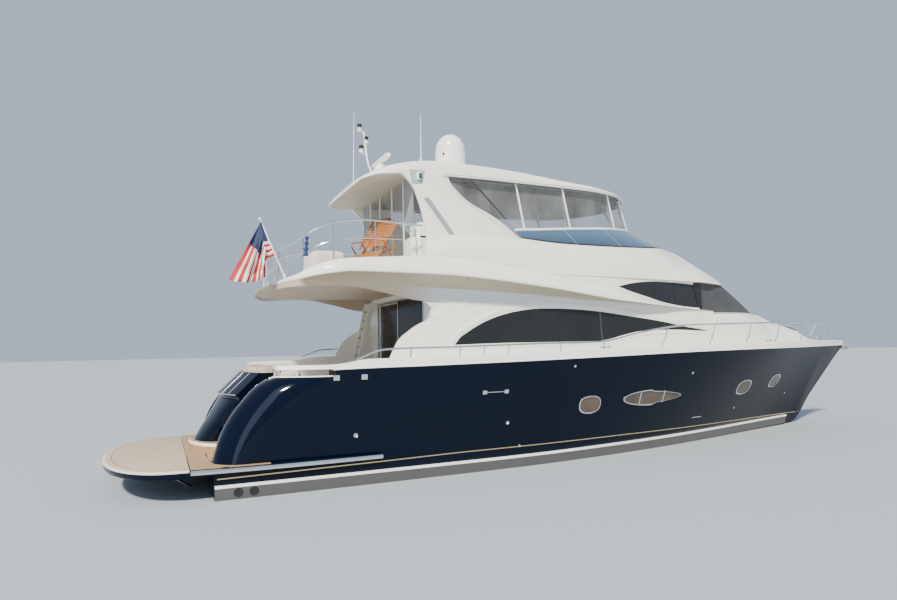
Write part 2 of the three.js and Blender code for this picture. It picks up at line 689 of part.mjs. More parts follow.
// Aft bulkhead: its fixed pane, its jamb column, the doorway and the sliding door
const DOORWAY = { y0: -50, y1: 1480, z0: SOLE_Z + 30, z1: 3900, paneY: -1700 };
const bulkheadHalf = [
  [WELL_HALF - GAP, SOLE_Z + GAP], [WELL_HALF - GAP, 2460], [houseY(BULKHEAD_X, 2460) - WALL - 12, 2460],
  [houseY(BULKHEAD_X, 3700) - WALL - 12, 3700], [2060, 3860], [2060, 4060],
];
const bulkheadRing = [...bulkheadHalf.map(([y, z]) => [-y, z]), ...[...bulkheadHalf].reverse()];
const bulkheadBlank = loft(
  [BULKHEAD_X, BULKHEAD_X + 80].map((x) => bulkheadRing.map(([y, z]) => [x, y, z])),
);
const doorway = box(BULKHEAD_X - 50, BULKHEAD_X + 200, DOORWAY.y0, DOORWAY.y1, DOORWAY.z0, DOORWAY.z1);
const paneSpan = [DOORWAY.paneY, DOORWAY.y0 + 10, DOORWAY.z0, DOORWAY.z1];
const paneHollow = box(BULKHEAD_X - 50, BULKHEAD_X + 20, ...paneSpan);
const paneBack = box(BULKHEAD_X + 45, BULKHEAD_X + 200, ...paneSpan);
const bulkhead = cut(bulkheadBlank, doorway, paneHollow, paneBack, deckRaised);
const slidingDoor = box(
  BULKHEAD_X + 52, BULKHEAD_X + 76, DOORWAY.y0 - 60, DOORWAY.y1 - 8, DOORWAY.z0 + 0.8, DOORWAY.z1 - 6,
);
add("salon_door", slidingDoor, "dark_glass");

// Foredeck trunk: a hollow moulding on the deck, flat under the windshield and sloping to the foredeck
const TRUNK = [
  // x, half width at the deck, half width at the shoulder, top z
  [3900 + GAP, 1900, 1740, 3592],
  [5200, 1690, 1480, 3610],
  [6400, 1400, 1130, 3620],
  [7400, 1130, 830, 3610],
  [8000, 960, 660, 3420],
  [8800, 730, 450, 3180],
  [9600, 490, 240, 2970],
  [10250, 280, 90, 2790],
];
const trunkShell = loft(
  TRUNK.map(([x, base, shoulder, top]) => {
    const foot = sheerAt(x) + 100;
    const skin = Math.min(60, (top - foot) * 0.6);
    const high = top - (top - foot) * 0.22;
    const outer = [[x, base, foot], [x, (base + shoulder) / 2 + 30, high], [x, shoulder, top - 30], [x, 0, top]];
    const inner = [
      [x, base - skin, foot],
      [x, (base + shoulder) / 2 + 30 - skin, high - skin * 0.6],
      [x, Math.max(shoulder - skin * 0.5, 20), top - 30 - skin],
      [x, 0, top - skin],
    ];
    const right = outer.map(([a, y, z]) => [a, -y, z]);
    const rightInner = inner.map(([a, y, z]) => [a, -y, z]);
    return [...right, ...outer.slice(0, -1).reverse(), ...inner, ...rightInner.slice(0, -1).reverse()];
  }),
);
const HATCH = { x0: 8850, x1: 9400, half: 270, thick: 45 };
const trunkTop = (x) => reading(TRUNK, x, 3);
const overTrunk = (x0, x1, low, high) => [[x0, trunkTop(x0) + low], [x1, trunkTop(x1) + low],
  [x1, trunkTop(x1) + high], [x0, trunkTop(x0) + high]];
const hatchFrame = plate(overTrunk(HATCH.x0 - 30, HATCH.x1 + 30, -40, 14), -HATCH.half - 30, HATCH.half + 30);
const trunk = cut(join(trunkShell, hatchFrame), deckRaised);
add("foredeck_trunk", trunk, "gelcoat");
const hatchProfile = overTrunk(HATCH.x0, HATCH.x1, 14.6, 14.6 + HATCH.thick);
add("foredeck_hatch", plate(hatchProfile, -HATCH.half, HATCH.half), "dark_glass");

// Flybridge deck: sole, overhang and the fascia that sweeps down along the pilothouse
const FASCIA = [
  // x, lip half width, lip z, lower edge z, crest z, crest half width
  [-8400, 1900, 3990, 3940, 4110, 1860],
  [-8200, 2300, 4050, 3960, 4230, 2240],
  [-7800, 2550, 4200, 4010, 4400, 2470],
  [-7300, 2640, 4270, 4040, 4480, 2540],
  [-6600, 2660, 4290, 4040, 4560, 2520],
  [-5900, 2660, 4290, 3930, 4620, 2460],
  [-5100, 2660, 4280, 3760, 4680, 2390],
  [-4500, 2660, 4270, 3722, 4700, 2340],
  [-3700, 2660, 4220, 3722, 4670, 2320],
  [-2500, 2650, 4110, 3722, 4520, 2290],
  [-1750, 2630, 4030, 3722, 4410, 2265],
  [-1100, 2610, 3950, 3722, 4290, 2240],
  [-100, 2540, 3830, 3722, 4170, 2190],
  [700, 2450, 3770, 3718, 4060, 2120],
  [1500, 2300, 3720, 3682, 3880, 2030],
  [2600, 2060, 3665, 3640, 3690, 1850],
  [3600, 1860, 3620, 3602, 3630, 1690],
  [3900, 1800, 3606, 3591, 3612, 1640],
];
const CEILING_Z = 4040;
const COAMING_UNDER = FLY_SOLE_Z - 40;
const flySlab = loft(
  FASCIA.map(([x, lipY, lipZ, edgeZ, crestZ, crestY]) => {
    const edgeY = Math.min(lipY - 10, houseY(x, edgeZ) + 2);
    const ceiling = Math.max(Math.min(CEILING_Z, lipZ - 5), edgeZ + 4);
    const floor = x < -1500 ? Math.min(FLY_SOLE_Z - 50, crestZ - 5) : crestZ;
    const innerY = Math.min(edgeY - WALL - 10, crestY - 80);
    return bothSides([
      [x, 0, x < 1500 ? ceiling : edgeZ],
      [x, innerY - 20, x < 1500 ? ceiling : edgeZ],
      [x, innerY, edgeZ + GAP],
      [x, edgeY, edgeZ + GAP],
      [x, edgeY + (lipY - edgeY) * 0.45, edgeZ + (lipZ - edgeZ) * 0.75],
      [x, lipY, lipZ + 2],
      [x, lipY - 15, lipZ + (crestZ - lipZ) * 0.35],
      [x, crestY, crestZ],
      [x, crestY - 70, crestZ],
      [x, crestY - 90, floor],
      [x, 0, floor],
    ]);
  }),
);

// Pilothouse: side walls between the fascia and the coaming, with their windows cut
const PILOT_STATIONS = [-1700, -1100, -100, 700, 1500, 2600, 3600];
const crestAt = (x) => reading(FASCIA, x, 4);
const pilotY = (x, z) => reading(FASCIA, x, 5) - 8 - 0.1 * (z - crestAt(x));
const PILOT_WALL = 60;
const pilotWall = loft(
  PILOT_STATIONS.map((x) => {
    const [low, high] = [crestAt(x) + GAP, COAMING_UNDER - GAP];
    return [
      [x, -pilotY(x, low), low],
      [x, -pilotY(x, high), high],
      [x, -pilotY(x, high) + PILOT_WALL, high],
      [x, -pilotY(x, low) + PILOT_WALL, low],
    ];
  }),
);
const PILOT_WINDOW = [
  // x, z from the aft tip over the top to the front pillar, and back along the lower edge
  [560, 4180], [1000, 4290], [1560, 4350], [2500, 4360], [3380, 4340], [3500, 3700], [2700, 3740],
  [1900, 3840], [1200, 4000],
];
pair("pilothouse_side", cut(pilotWall, plate(PILOT_WINDOW, -2600, -1000)), "gelcoat");
pair("pilothouse_glass", glassIn(PILOT_WINDOW, 0.6, 10, pilotY), "dark_glass");
const pilotWell = slab(
  [[-1000, 2000], [700, 1960], [1500, 1900], [2600, 1740], [3600, 1570]].flatMap(([x, y]) => [[x, y]]).concat(
    [[3600, -1570], [2600, -1740], [1500, -1900], [700, -1960], [-1000, -2000]],
  ),
  3000, 5000,
);
const stairEdge = FLY_STAIR.x1 + FLY_STAIR.half;
const stairOpening = box(-5700, stairEdge, FLY_STAIR.y0 - 10, FLY_STAIR.y1 + 10, 3000, 5000);
const flyDeck = cut(flySlab, pilotWell, stairOpening);
add("flybridge_deck", flyDeck, "gelcoat");
add("aft_bulkhead", cut(bulkhead, lowered(flyDeck)), "gelcoat");

// Coaming around the flybridge, closed in front as the brow over the windshield
const COAMING = [
  // x, base half width, base z, top half width, top z, inner floor z, underside z
  [-4900, 2360, 4690, 2230, 4960, FLY_SOLE_Z, COAMING_UNDER],
  [-4500, 2335, 4700, 2200, 5060, FLY_SOLE_Z, COAMING_UNDER],
  [-3700, 2315, 4670, 2140, 5210, FLY_SOLE_Z, COAMING_UNDER],
  [-2500, 2285, 4520, 2065, 5250, FLY_SOLE_Z, COAMING_UNDER],
  [-1750, 2260, 4410, 2030, 5210, FLY_SOLE_Z, COAMING_UNDER],
  [-1100, 2235, 4410, 2000, 5190, FLY_SOLE_Z, COAMING_UNDER],
  [500, 2130, 4410, 1840, 5220, FLY_SOLE_Z, COAMING_UNDER],
  [1600, 2000, 4410, 1540, 5290, FLY_SOLE_Z, COAMING_UNDER],
  [2500, 1880, 4410, 1150, 5380, FLY_SOLE_Z, COAMING_UNDER],
  [2700, 1850, 4410, 1040, 5400, 5360, COAMING_UNDER],
  [3400, 1740, 4410, 560, 5450, 5400, COAMING_UNDER],
  [3900, 1620, 4410, 300, 5440, 5390, COAMING_UNDER],
  [4600, 1290, 4415, 260, 5130, 5080, 4415],
  [5300, 850, 4430, 200, 4790, 4750, 4430],
  [5850, 330, 4460, 120, 4560, 4545, 4460],
];
const coaming = loft(
  COAMING.map(([x, baseY, baseZ, topY, topZ, floorZ, under]) => {
    const innerY = Math.max(topY - 110, 60);
    return bothSides([
      [x, 0, under],
      [x, baseY - 120, under],
      [x, baseY - 110, baseZ + GAP],
      [x, baseY, baseZ + GAP],
      [x, (baseY + topY) / 2 + 30, (baseZ + topZ) / 2],
      [x, topY, topZ],
      [x, innerY, topZ],
      [x, innerY - 10, floorZ],
      [x, 0, floorZ],
    ]);
  }),
);
const stairWell = box(-5200, stairEdge, FLY_STAIR.y0, FLY_STAIR.y1, 4000, 5600);
add("fly_coaming", cut(coaming, stairWell), "gelcoat");

// Windshield under its mesh cover, from the trunk and the dash up to the brow
const SHIELD = { aft: 3680, half: 1600, foreLow: 7250, foreHigh: 5750, lowZ: 3570, highZ: 4425, thick: 45 };
const SHIELD_STEPS = 12;
const shieldRings = [];
for (let i = 0; i <= SHIELD_STEPS; i++) {
  const s = (2 * i) / SHIELD_STEPS - 1;
  const plan = 1 - Math.abs(s) ** 2.2;
  const low = [SHIELD.aft + (SHIELD.foreLow - SHIELD.aft) * plan, SHIELD.half * s, SHIELD.lowZ];
  const highX = SHIELD.aft + (SHIELD.foreHigh - SHIELD.aft) * plan;
  const high = [highX, (SHIELD.half - 60) * s, SHIELD.highZ + 40 * plan];
  const back = (p) => [p[0] - SHIELD.thick, p[1] * (1 - SHIELD.thick / 1900), p[2]];
  shieldRings.push([low, high, back(high), back(low)]);
}
const shieldBlank = loft(shieldRings, (p) => [p[0], p[2]]);
const behindTrunk = box(3500, 3901, -1700, 1700, 3500, 3604);
add("windshield", cut(shieldBlank, raised(trunk), behindTrunk, raised(flyDeck), lowered(coaming)), "mesh_cover");

// Curved lines around the front of the flybridge, from starboard aft over the centreline to port aft
function around(half) {
  return [...half, ...half.filter((p) => p[1] < 0).reverse().map(([x, y, z]) => [x, -y, z])];
}
const SCREEN_FOOT = around([[-2350, -2030, 5254], [-1100, -1975, 5200], [500, -1810, 5230], [1600, -1500, 5300],
  [2500, -1100, 5392], [3150, -620, 5440], [3420, 0, 5460]]);
const SCREEN_TOP = around([[-2500, -1950, 5440], [-900, -1900, 5570], [400, -1700, 5680], [1150, -1350, 5750],
  [1750, -900, 5800], [2120, -450, 5840], [2250, 0, 5850]]);
const HARD_FRONT = around([[-4000, -1850, 6560], [-1100, -1860, 6570], [300, -1700, 6575], [900, -1400, 6575],
  [1350, -950, 6575], [1560, -480, 6575], [1620, 0, 6575]]);

function screen(foot, top, thick, drop = 0) {
  return loft(
    foot.map((p, i) => {
      const q = [top[i][0], top[i][1], top[i][2] - drop];
      const inward = (r) => [r[0] - thick * 0.8, r[1] - Math.sign(r[1]) * thick, r[2]];
      return [p, q, inward(q), inward(p)];
    }),
    (p) => [p[0], p[2]],
  );
}
const screenFeet = SCREEN_FOOT.map(([x, y, z]) => [x, y, z - 110]);
const screenBlank = screen(screenFeet, SCREEN_TOP, 14, 40.5);
add("fly_windscreen", cut(screenBlank, raised(coaming)), "blue_glass");
// Hardtop with its raised sunroof, the two arch legs and what stands on top
const HARDTOP = [
  // x, half width, edge z, top z at the edge, crown z
  [-6050, 1500, 6440, 6490, 6540],
  [-5850, 1900, 6450, 6560, 6660],
  [-5300, 2000, 6500, 6740, 6850],
  [-4700, 2000, 6540, 6850, 6960],
  [-3800, 1980, 6570, 6880, 7010],
  [-2400, 1960, 6580, 6840, 7010],
  [-1100, 1930, 6580, 6750, 6950],
  [200, 1800, 6580, 6690, 6860],
  [1000, 1450, 6580, 6660, 6780],
  [1500, 900, 6580, 6650, 6720],
  [1750, 350, 6580, 6640, 6670],
];
const hardtop = loft(
  HARDTOP.map(([x, half, edge, top, crown]) =>
    bothSides([
      [x, 0, edge + 10],
      [x, half - 120, edge],
      [x, half, edge + 15],
      [x, half - 20, top - 20],
      [x, half - 160, top + 20],
      [x, half * 0.5, (top + 2 * crown) / 3],
      [x, 0, crown],
    ]),
  ),
);
const SUNROOF = { x0: -2680, x1: -1020, half: 680, seat: 7011.4, thick: 48 };
const frameHalf = SUNROOF.half + 20;
const sunroofFrame = box(SUNROOF.x0 - 20, SUNROOF.x1 + 20, -frameHalf, frameHalf, 6700, SUNROOF.seat);
const sunroofHole = box(SUNROOF.x0 + 80, SUNROOF.x1 - 80, -SUNROOF.half + 80, SUNROOF.half - 80, 6300, 7400);
const RADAR = { x: -5020, y: 250, foot: 6800, top: 7280 };
const pedestal = turned([[0, RADAR.foot], [170, RADAR.foot], [120, 7100], [120, RADAR.top], [0, RADAR.top]], 20);
pedestal.translate(RADAR.x, RADAR.y, 0);
// The arch legs flow into the hardtop's edge and stand on the coaming
const LEG = [
  // x, z down the aft edge, along the foot and back up the sweeping forward edge
  [-5250, 6450], [-5090, 6270], [-4970, 6000], [-4870, 5660], [-4780, 5000], [-2550, 5290],
  [-3170, 5740], [-3680, 5970], [-4200, 6400], [-4200, 6600], [-5200, 6560],
];
const LEG_FACES = [
  // y at the foot, y at the head
  [-2100, -2000],
  [-1990, -1890],
];
const legBlank = loft(
  LEG_FACES.map(([foot, head]) => (
    LEG.map(([x, z]) => [x, THREE.MathUtils.mapLinear(z, 5000, 6500, foot, head), z])
  )),
  (p) => [p[0], p[2]],
);
const leg = cut(legBlank, coaming.clone().translate(0, 0, 2 * GAP));
const roof = cut(join(hardtop, sunroofFrame, pedestal, leg, mirrored(leg)), sunroofHole);
add("hardtop", roof, "gelcoat");
const lidZ = 7012;
const sunroofLid = box(SUNROOF.x0, SUNROOF.x1, -SUNROOF.half, SUNROOF.half, lidZ, lidZ + SUNROOF.thick);
add("sunroof_panel", sunroofLid, "gelcoat");


// Enclosure: the bar on the windscreen, its struts up to the hardtop and the clear panels inside them
const bar = pipe(SCREEN_TOP, 38, 36, 8);
const strutAt = [1, 2, 3, 5, 7, 9, 10, 11];
const struts = strutAt.map((i) => {
  const [x, y, z] = HARD_FRONT[i];
  return rod(SCREEN_TOP[i], [x, y, z - 5], 24, 6);
});
add("enclosure_frame", cut(join(bar, ...struts), lowered(hardtop)), "gelcoat");
const within = (p, d, z) => [p[0] - d, p[1] - Math.sign(p[1]) * d, p[2] + z];
const panelFoot = SCREEN_TOP.map((p) => within(p, 62, 0));
const panelTop = HARD_FRONT.map((p) => within(p, 62, 15));
add("enclosure_panels", cut(screen(panelFoot, panelTop, 8), lowered(hardtop)), "clear_panel");

const DOME = { x: -3230, r: 400, foot: 6900, top: 8180 };
const domeProfile = [
  [0, DOME.foot], [300, DOME.foot], [320, DOME.foot + 290],
  [DOME.r, DOME.foot + 370], [DOME.r, DOME.foot + 870],
];
for (let i = 1; i <= 6; i++) {
  const angle = (Math.PI / 2) * (i / 6);
  const crown = (DOME.top - DOME.foot - 870) * Math.sin(angle);
  domeProfile.push([DOME.r * Math.cos(angle), DOME.foot + 870 + crown]);
}
add("satellite_dome", cut(turned(domeProfile, 24).translate(DOME.x, 0, 0), raised(roof)), "gelcoat");

const radarBar = box(-70, 70, -600, 600, 0, 110).translate(RADAR.x, RADAR.y, RADAR.top + 60);
const radarHub = rod([RADAR.x, RADAR.y, RADAR.top + 0.6], [RADAR.x, RADAR.y, RADAR.top + 80], 70, 16);
add("radar_array", join(radarBar, radarHub), "gelcoat");

const MAST = { x: -5250, y: 900, foot: 6700, top: 8300, lean: 120 };
const mastX = (z) => MAST.x + (MAST.lean * (MAST.top - z)) / (MAST.top - MAST.foot);
const mastRod = rod([mastX(MAST.foot), MAST.y, MAST.foot], [MAST.x, MAST.y, MAST.top], 26, 8);
const lamps = [[-110, 8420], [60, 8120], [-70, 7880]].map(([dx, z]) => join(
  rod([MAST.x + dx, MAST.y, z - 110], [MAST.x + dx, MAST.y, z + 60], 55, 10),
  rod([MAST.x + dx, MAST.y, z - 90], [mastX(z - 140), MAST.y, z - 140], 18, 6),
));
add("light_mast", cut(join(mastRod, ...lamps), raised(roof)), "gelcoat");
const WHIP = { x: -5380, y: 1500, top: 8980 };
const whipFoot = rod([WHIP.x, WHIP.y, 6650], [WHIP.x, WHIP.y, 7030], 30, 8);
const whip = rod([WHIP.x, WHIP.y, 7000], [WHIP.x + 60, WHIP.y, WHIP.top], 11, 6);
add("whip_port", cut(join(whipFoot, whip), raised(roof)), "gelcoat");

// Helm console, seats, wet bar and a covered locker on the flybridge
const FLOOR = FLY_SOLE_Z + GAP;
const consoleProfile = [[900, FLOOR], [2100, FLOOR], [2100, 5250], [1500, 5420], [1000, 5150]];
add("helm_console", plate(consoleProfile, -900, 900), "gelcoat");
const seat = (y) => join(
  box(-300, 350, y - 300, y + 300, FLOOR + 300, FLOOR + 550),
  box(-380, -250, y - 300, y + 300, FLOOR + 300, FLOOR + 1200),
  rod([0, y, FLOOR + 50], [0, y, FLOOR + 320], 90, 12),
);
add("helm_seats", join(seat(-500), seat(500), box(-250, 250, -750, 750, FLOOR, FLOOR + 80)), "cushion");
add("wet_bar", box(-4600, -3500, -1950, -1350, FLOOR, 5350), "gelcoat");
const AFT_FLOOR = FLY_SOLE_Z - 50 + GAP;
const lockerBody = box(-7300, -6300, -600, 600, AFT_FLOOR, 4900);
add("covered_locker", join(lockerBody, box(-7250, -6350, -550, 550, 4880, 4980)), "cushion");
add("deck_chairs", join(
  plate([[-6150, AFT_FLOOR], [-6000, AFT_FLOOR], [-5100, 5500], [-5200, 5560]], -1500, -1000),
  plate([[-5500, AFT_FLOOR], [-5350, AFT_FLOOR], [-5750, 5400], [-5880, 5380]], -1450, -1050),
  plate([[-6100, 4800], [-5100, 4800], [-5100, 4880], [-6100, 4880]], -1480, -1020),
), "teak");

// Rails: around the flybridge aft, and around the main deck to the bow
const flyTop = [
  // x, y, z
  [-4950, -2180, 5360], [-6000, -2380, 5360], [-6900, -2420, 5340],
  [-7500, -2320, 5200], [-8000, -1900, 5060], [-8150, -1200, 5040],
];
const flyRailLine = [...flyTop, ...flyTop.map(([x, y, z]) => [x, -y, z]).reverse()];
const flyPosts = [1, 2, 3, 4, 5].flatMap((i) => [-1, 1].map((side) => {
  const [x, y, z] = flyTop[i];
  return rod([x, side * y, reading(FASCIA, x, 4) - 60], [x, side * y, z], 18, 6);
}));
add("fly_rail", cut(join(pipe(flyRailLine, 20, 44, 6), ...flyPosts), raised(flyDeck)), "steel");

const RAIL = [
  // x, rail z
  [-6300, 2640], [-6000, 2740], [-4400, 2760], [-2500, 2790], [-600, 2830], [400, 2990], [1500, 3150],
  [3500, 3230], [5200, 3260], [7000, 3280], [9000, 3290], [10500, 3300], [11600, 3310],
];
const railY = (x) => beamAt(x) - 60;
const railHalf = RAIL.map(([x, z]) => [x, -railY(x), z]);
const railLine = [...railHalf, [12120, 0, 3320], ...railHalf.map(([x, y, z]) => [x, -y, z]).reverse()];
const POST_LEAN = 160; // forward, of the posts from the pilothouse to the bow
const POSTS = [-4340, -3770, -3160, -1800, -570, 1350, 3240, 4970, 6650, 8360, 9050, 10080, 11100];
const posts = POSTS.map((x) => {
  const foot = railTopZ(x) - 10;
  const head = x + (x > 0 ? POST_LEAN : 0);
  return rod([x, -railY(x) - 20, foot], [head, -railY(head), reading(RAIL, head, 1)], 16, 6);
});
const SPLICE = 5400; // where the side rails meet the bow rail, between two posts
const postRow = join(...posts);
const wholeRail = cut(join(pipe(railLine, 19, 70, 6), postRow, mirrored(postRow)), deckRaised);
const aftOfSplice = box(-9000, SPLICE + GAP / 2, -4000, 4000, 2000, 4000);
const foreOfSplice = box(SPLICE - GAP / 2, 14000, -4000, 4000, 2000, 4000);
const portHalf = box(-7000, 13000, 0, 4000, 2000, 4000);
pair("deck_rail", cut(wholeRail, foreOfSplice, portHalf), "steel");
add("bow_rail", cut(wholeRail, aftOfSplice), "steel");

// Foredeck: the anchor in its roller
const rollerFoot = railTopZ(11300) + 2 * GAP;
add("anchor", join(
  box(11300, 12200, -45, 45, rollerFoot, 2790),
  plate([[12080, 2760], [12200, 2760], [12180, 2420], [12060, 2440]], -30, 30),
  box(12010, 12100, -160, 160, 2400, 2480),
), "steel");

// Ensign on its staff at the starboard quarter of the flybridge
const STAFF = { foot: [-7830, 4330], top: [-8230, 5450], y: -2080, radius: 16 };
const staffX = (z) => THREE.MathUtils.mapLinear(z, STAFF.foot[1], STAFF.top[1], STAFF.foot[0], STAFF.top[0]);
const staff = rod([STAFF.foot[0], STAFF.y, STAFF.foot[1]], [STAFF.top[0], STAFF.y, STAFF.top[1]], STAFF.radius);
add("ensign_staff", cut(staff, raised(flyDeck)), "gelcoat");
const hoist = (z) => [staffX(z) - STAFF.radius - 0.7, z];
const ensignProfile = [hoist(5330), [-8480, 4880], [-8790, 4140], [-8220, 4340], hoist(4660)];
add("ensign", plate(ensignProfile, STAFF.y - 8, STAFF.y + 8), "cloth");

export default yacht;
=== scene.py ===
"""A flybridge motor yacht afloat, in metres: +X to the bow, +Y to port, +Z up, with the origin on the
centreline at the waterline, amidships."""

import math

import bmesh
import bpy
import numpy as np
from mathutils import Matrix, Vector


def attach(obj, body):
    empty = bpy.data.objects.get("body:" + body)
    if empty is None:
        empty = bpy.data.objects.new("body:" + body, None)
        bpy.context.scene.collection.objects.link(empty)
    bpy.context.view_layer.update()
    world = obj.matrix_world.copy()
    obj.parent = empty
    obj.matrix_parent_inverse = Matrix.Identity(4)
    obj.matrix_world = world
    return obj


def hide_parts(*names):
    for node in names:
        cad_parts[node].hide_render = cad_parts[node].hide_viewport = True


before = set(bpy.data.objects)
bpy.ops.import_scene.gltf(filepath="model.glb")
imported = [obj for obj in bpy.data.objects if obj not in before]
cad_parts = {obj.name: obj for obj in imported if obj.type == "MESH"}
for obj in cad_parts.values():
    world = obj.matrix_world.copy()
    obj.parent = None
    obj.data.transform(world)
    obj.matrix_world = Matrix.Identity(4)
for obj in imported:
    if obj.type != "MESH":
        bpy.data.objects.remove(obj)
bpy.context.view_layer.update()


# The view: along her starboard side from abaft the beam, at the height of her rail. A high sun stands over
# that quarter, with a tall soft panel abaft her, and the floor is a pale sheet at her waterline.
CAMERA_PLACE = Vector((-10.169, -14.904, 2.771))
HEADING = math.radians(24.52)  # of the view, from port towards the bow
ROLL = 0.017
FOCAL_PIXELS = 640
PHOTO_WIDTH = 897
HORIZON_BELOW_CENTRE = 45.7

ahead = Vector((math.sin(HEADING), math.cos(HEADING), 0))
level_right = Vector((math.cos(HEADING), -math.sin(HEADING), 0))
up = Vector((0, 0, 1))
right = math.cos(ROLL) * level_right - math.sin(ROLL) * up
over = math.cos(ROLL) * up + math.sin(ROLL) * level_right
view = Matrix((right, over, -ahead)).transposed().to_4x4()
camera = bpy.data.objects.new("camera", bpy.data.cameras.new("camera"))
camera.matrix_world = Matrix.Translation(CAMERA_PLACE) @ view
camera.data.sensor_fit = "HORIZONTAL"
camera.data.sensor_width = 36
camera.data.lens = 36 * FOCAL_PIXELS / PHOTO_WIDTH
camera.data.shift_y = HORIZON_BELOW_CENTRE / PHOTO_WIDTH
camera.data.clip_end = 500
bpy.context.scene.collection.objects.link(camera)
bpy.context.scene.camera = camera


def plain_surface(name, colour, roughness):
    material = bpy.data.materials.new(name)
    material.use_nodes = True
    shader = material.node_tree.nodes["Principled BSDF"]
    shader.inputs["Base Color"].default_value = (*colour, 1)
    shader.inputs["Roughness"].default_value = roughness
    return material


def turns(count):
    """The angles that divide a full turn into equal steps."""
    return [math.tau * i / count for i in range(count)]


FLOOR_RADIUS, FLOOR_SIDES = 220, 96
floor_mesh = bpy.data.meshes.new("floor")
rim = [(FLOOR_RADIUS * math.cos(a), FLOOR_RADIUS * math.sin(a), 0) for a in turns(FLOOR_SIDES)]
floor_mesh.from_pydata(rim, [], [tuple(range(FLOOR_SIDES))])
floor_mesh.materials.append(plain_surface("floor", (0.40, 0.445, 0.49), 0.9))
floor = bpy.data.objects.new("floor", floor_mesh)
bpy.context.scene.collection.objects.link(floor)

world = bpy.data.worlds.new("soft_sky")
world.use_nodes = True
world.node_tree.nodes["Background"].inputs["Color"].default_value = (0.62, 0.74, 0.92, 1)
world.node_tree.nodes["Background"].inputs["Strength"].default_value = 0.78
bpy.context.scene.world = world


def aimed(light, place, target, energy, colour):
    light.energy = energy
    light.color = colour
    lamp = bpy.data.objects.new(light.name, light)
    direction = Vector(target) - Vector(place)
    lamp.matrix_world = Matrix.Translation(place) @ direction.to_track_quat("-Z", "Y").to_matrix().to_4x4()
    bpy.context.scene.collection.objects.link(lamp)


key = bpy.data.lights.new("key", "SUN")
key.angle = 0.09
aimed(key, (-28, -34, 44), (0, 0, 2), 6.4, (1.0, 0.93, 0.80))
quarter_light = bpy.data.lights.new("quarter", "AREA")
quarter_light.shape = "RECTANGLE"
quarter_light.size = 11
quarter_light.size_y = 40
aimed(quarter_light, (-32, -24, 19), (-6, 0, 4), 5200, (0.72, 0.86, 1.0))


# Hull: one hand-laid moulding in dark blue gelcoat with a hard chine, raked and rounded quarters that run
# aft as wings on the platform, and matt bottom paint from just above the waterline down.
class Value:
    """A socket whose arithmetic adds Math nodes to its material."""

    def __init__(self, tree, socket):
        self.tree, self.socket = tree, socket

    def _math(self, operation, *values):
        node = self.tree.nodes.new("ShaderNodeMath")
        node.operation = operation
        for socket, value in zip(node.inputs, values):
            plug(self.tree, socket, value)
        return Value(self.tree, node.outputs[0])

    def __add__(self, other):
        return self._math("ADD", self, other)

    __radd__ = __add__

    def __sub__(self, other):
        return self._math("SUBTRACT", self, other)

    def __rsub__(self, other):
        return self._math("SUBTRACT", other, self)

    def __mul__(self, other):
        return self._math("MULTIPLY", self, other)

    __rmul__ = __mul__

    def __truediv__(self, other):
        return self._math("DIVIDE", self, other)


def plug(tree, socket, value):
    if isinstance(value, Value):
        tree.links.new(value.socket, socket)
    elif hasattr(socket.default_value, "__len__") and len(value) == 3 and len(socket.default_value) == 4:
        socket.default_value = (*value, 1)
    else:
        socket.default_value = value


class Finish:
    """A material under construction: its Principled shader and the fields that vary over it."""

    def __init__(self, name, colour=(0.8, 0.8, 0.8), roughness=0.5, **constants):
        self.material = bpy.data.materials.new(name)
        self.material.use_nodes = True
        self.tree = self.material.node_tree
        self.shader = self.tree.nodes["Principled BSDF"]
        self.set(Base_Color=colour, Roughness=roughness, **constants)

    def node(self, kind, settings=(), sockets=(), output=0):
        node = self.tree.nodes.new(kind)
        for name, value in dict(settings).items():
            setattr(node, name, value)
        for key, value in dict(sockets).items():
            plug(self.tree, node.inputs[key], value)
        return Value(self.tree, node.outputs[output])

    def set(self, **sockets):
        for name, value in sockets.items():
            plug(self.tree, self.shader.inputs[name.replace("_", " ")], value)
        return self

    def place(self):
        return self.node("ShaderNodeTexCoord", output="Object")

    def axes(self):
        split = self.tree.nodes.new("ShaderNodeSeparateXYZ")
        self.tree.links.new(self.place().socket, split.inputs[0])
        return [Value(self.tree, output) for output in split.outputs]

    def noise(self, scale, detail=3, roughness=0.5, stretch=(1, 1, 1)):
        mapped = self.node("ShaderNodeMapping", (), {"Vector": self.place(), "Scale": stretch})
        sockets = {"Vector": mapped, "Scale": scale, "Detail": detail, "Roughness": roughness}
        return self.node("ShaderNodeTexNoise", (), sockets)

    def function(self, operation, *values):
        sockets = dict(enumerate(values))
        return self.node("ShaderNodeMath", {"operation": operation}, sockets)

    def span(self, value, low, high, to_low=0.0, to_high=1.0, smooth=False):
        kind = {"interpolation_type": "SMOOTHSTEP" if smooth else "LINEAR"}
        sockets = {"Value": value, "From Min": low, "From Max": high, "To Min": to_low, "To Max": to_high}
        return self.node("ShaderNodeMapRange", kind, sockets)

    def blend(self, share, first, second):
        sockets = {"Factor": share, "A": first, "B": second}
        node = self.tree.nodes.new("ShaderNodeMix")
        node.data_type = "RGBA"
        for socket in node.inputs:
            if socket.enabled and socket.name in sockets:
                plug(self.tree, socket, sockets[socket.name])
        return Value(self.tree, next(o for o in node.outputs if o.enabled))

    def bump(self, height, distance=0.001, strength=1.0):
        sockets = {"Height": height, "Distance": distance, "Strength": strength}
        return self.set(Normal=self.node("ShaderNodeBump", (), sockets))


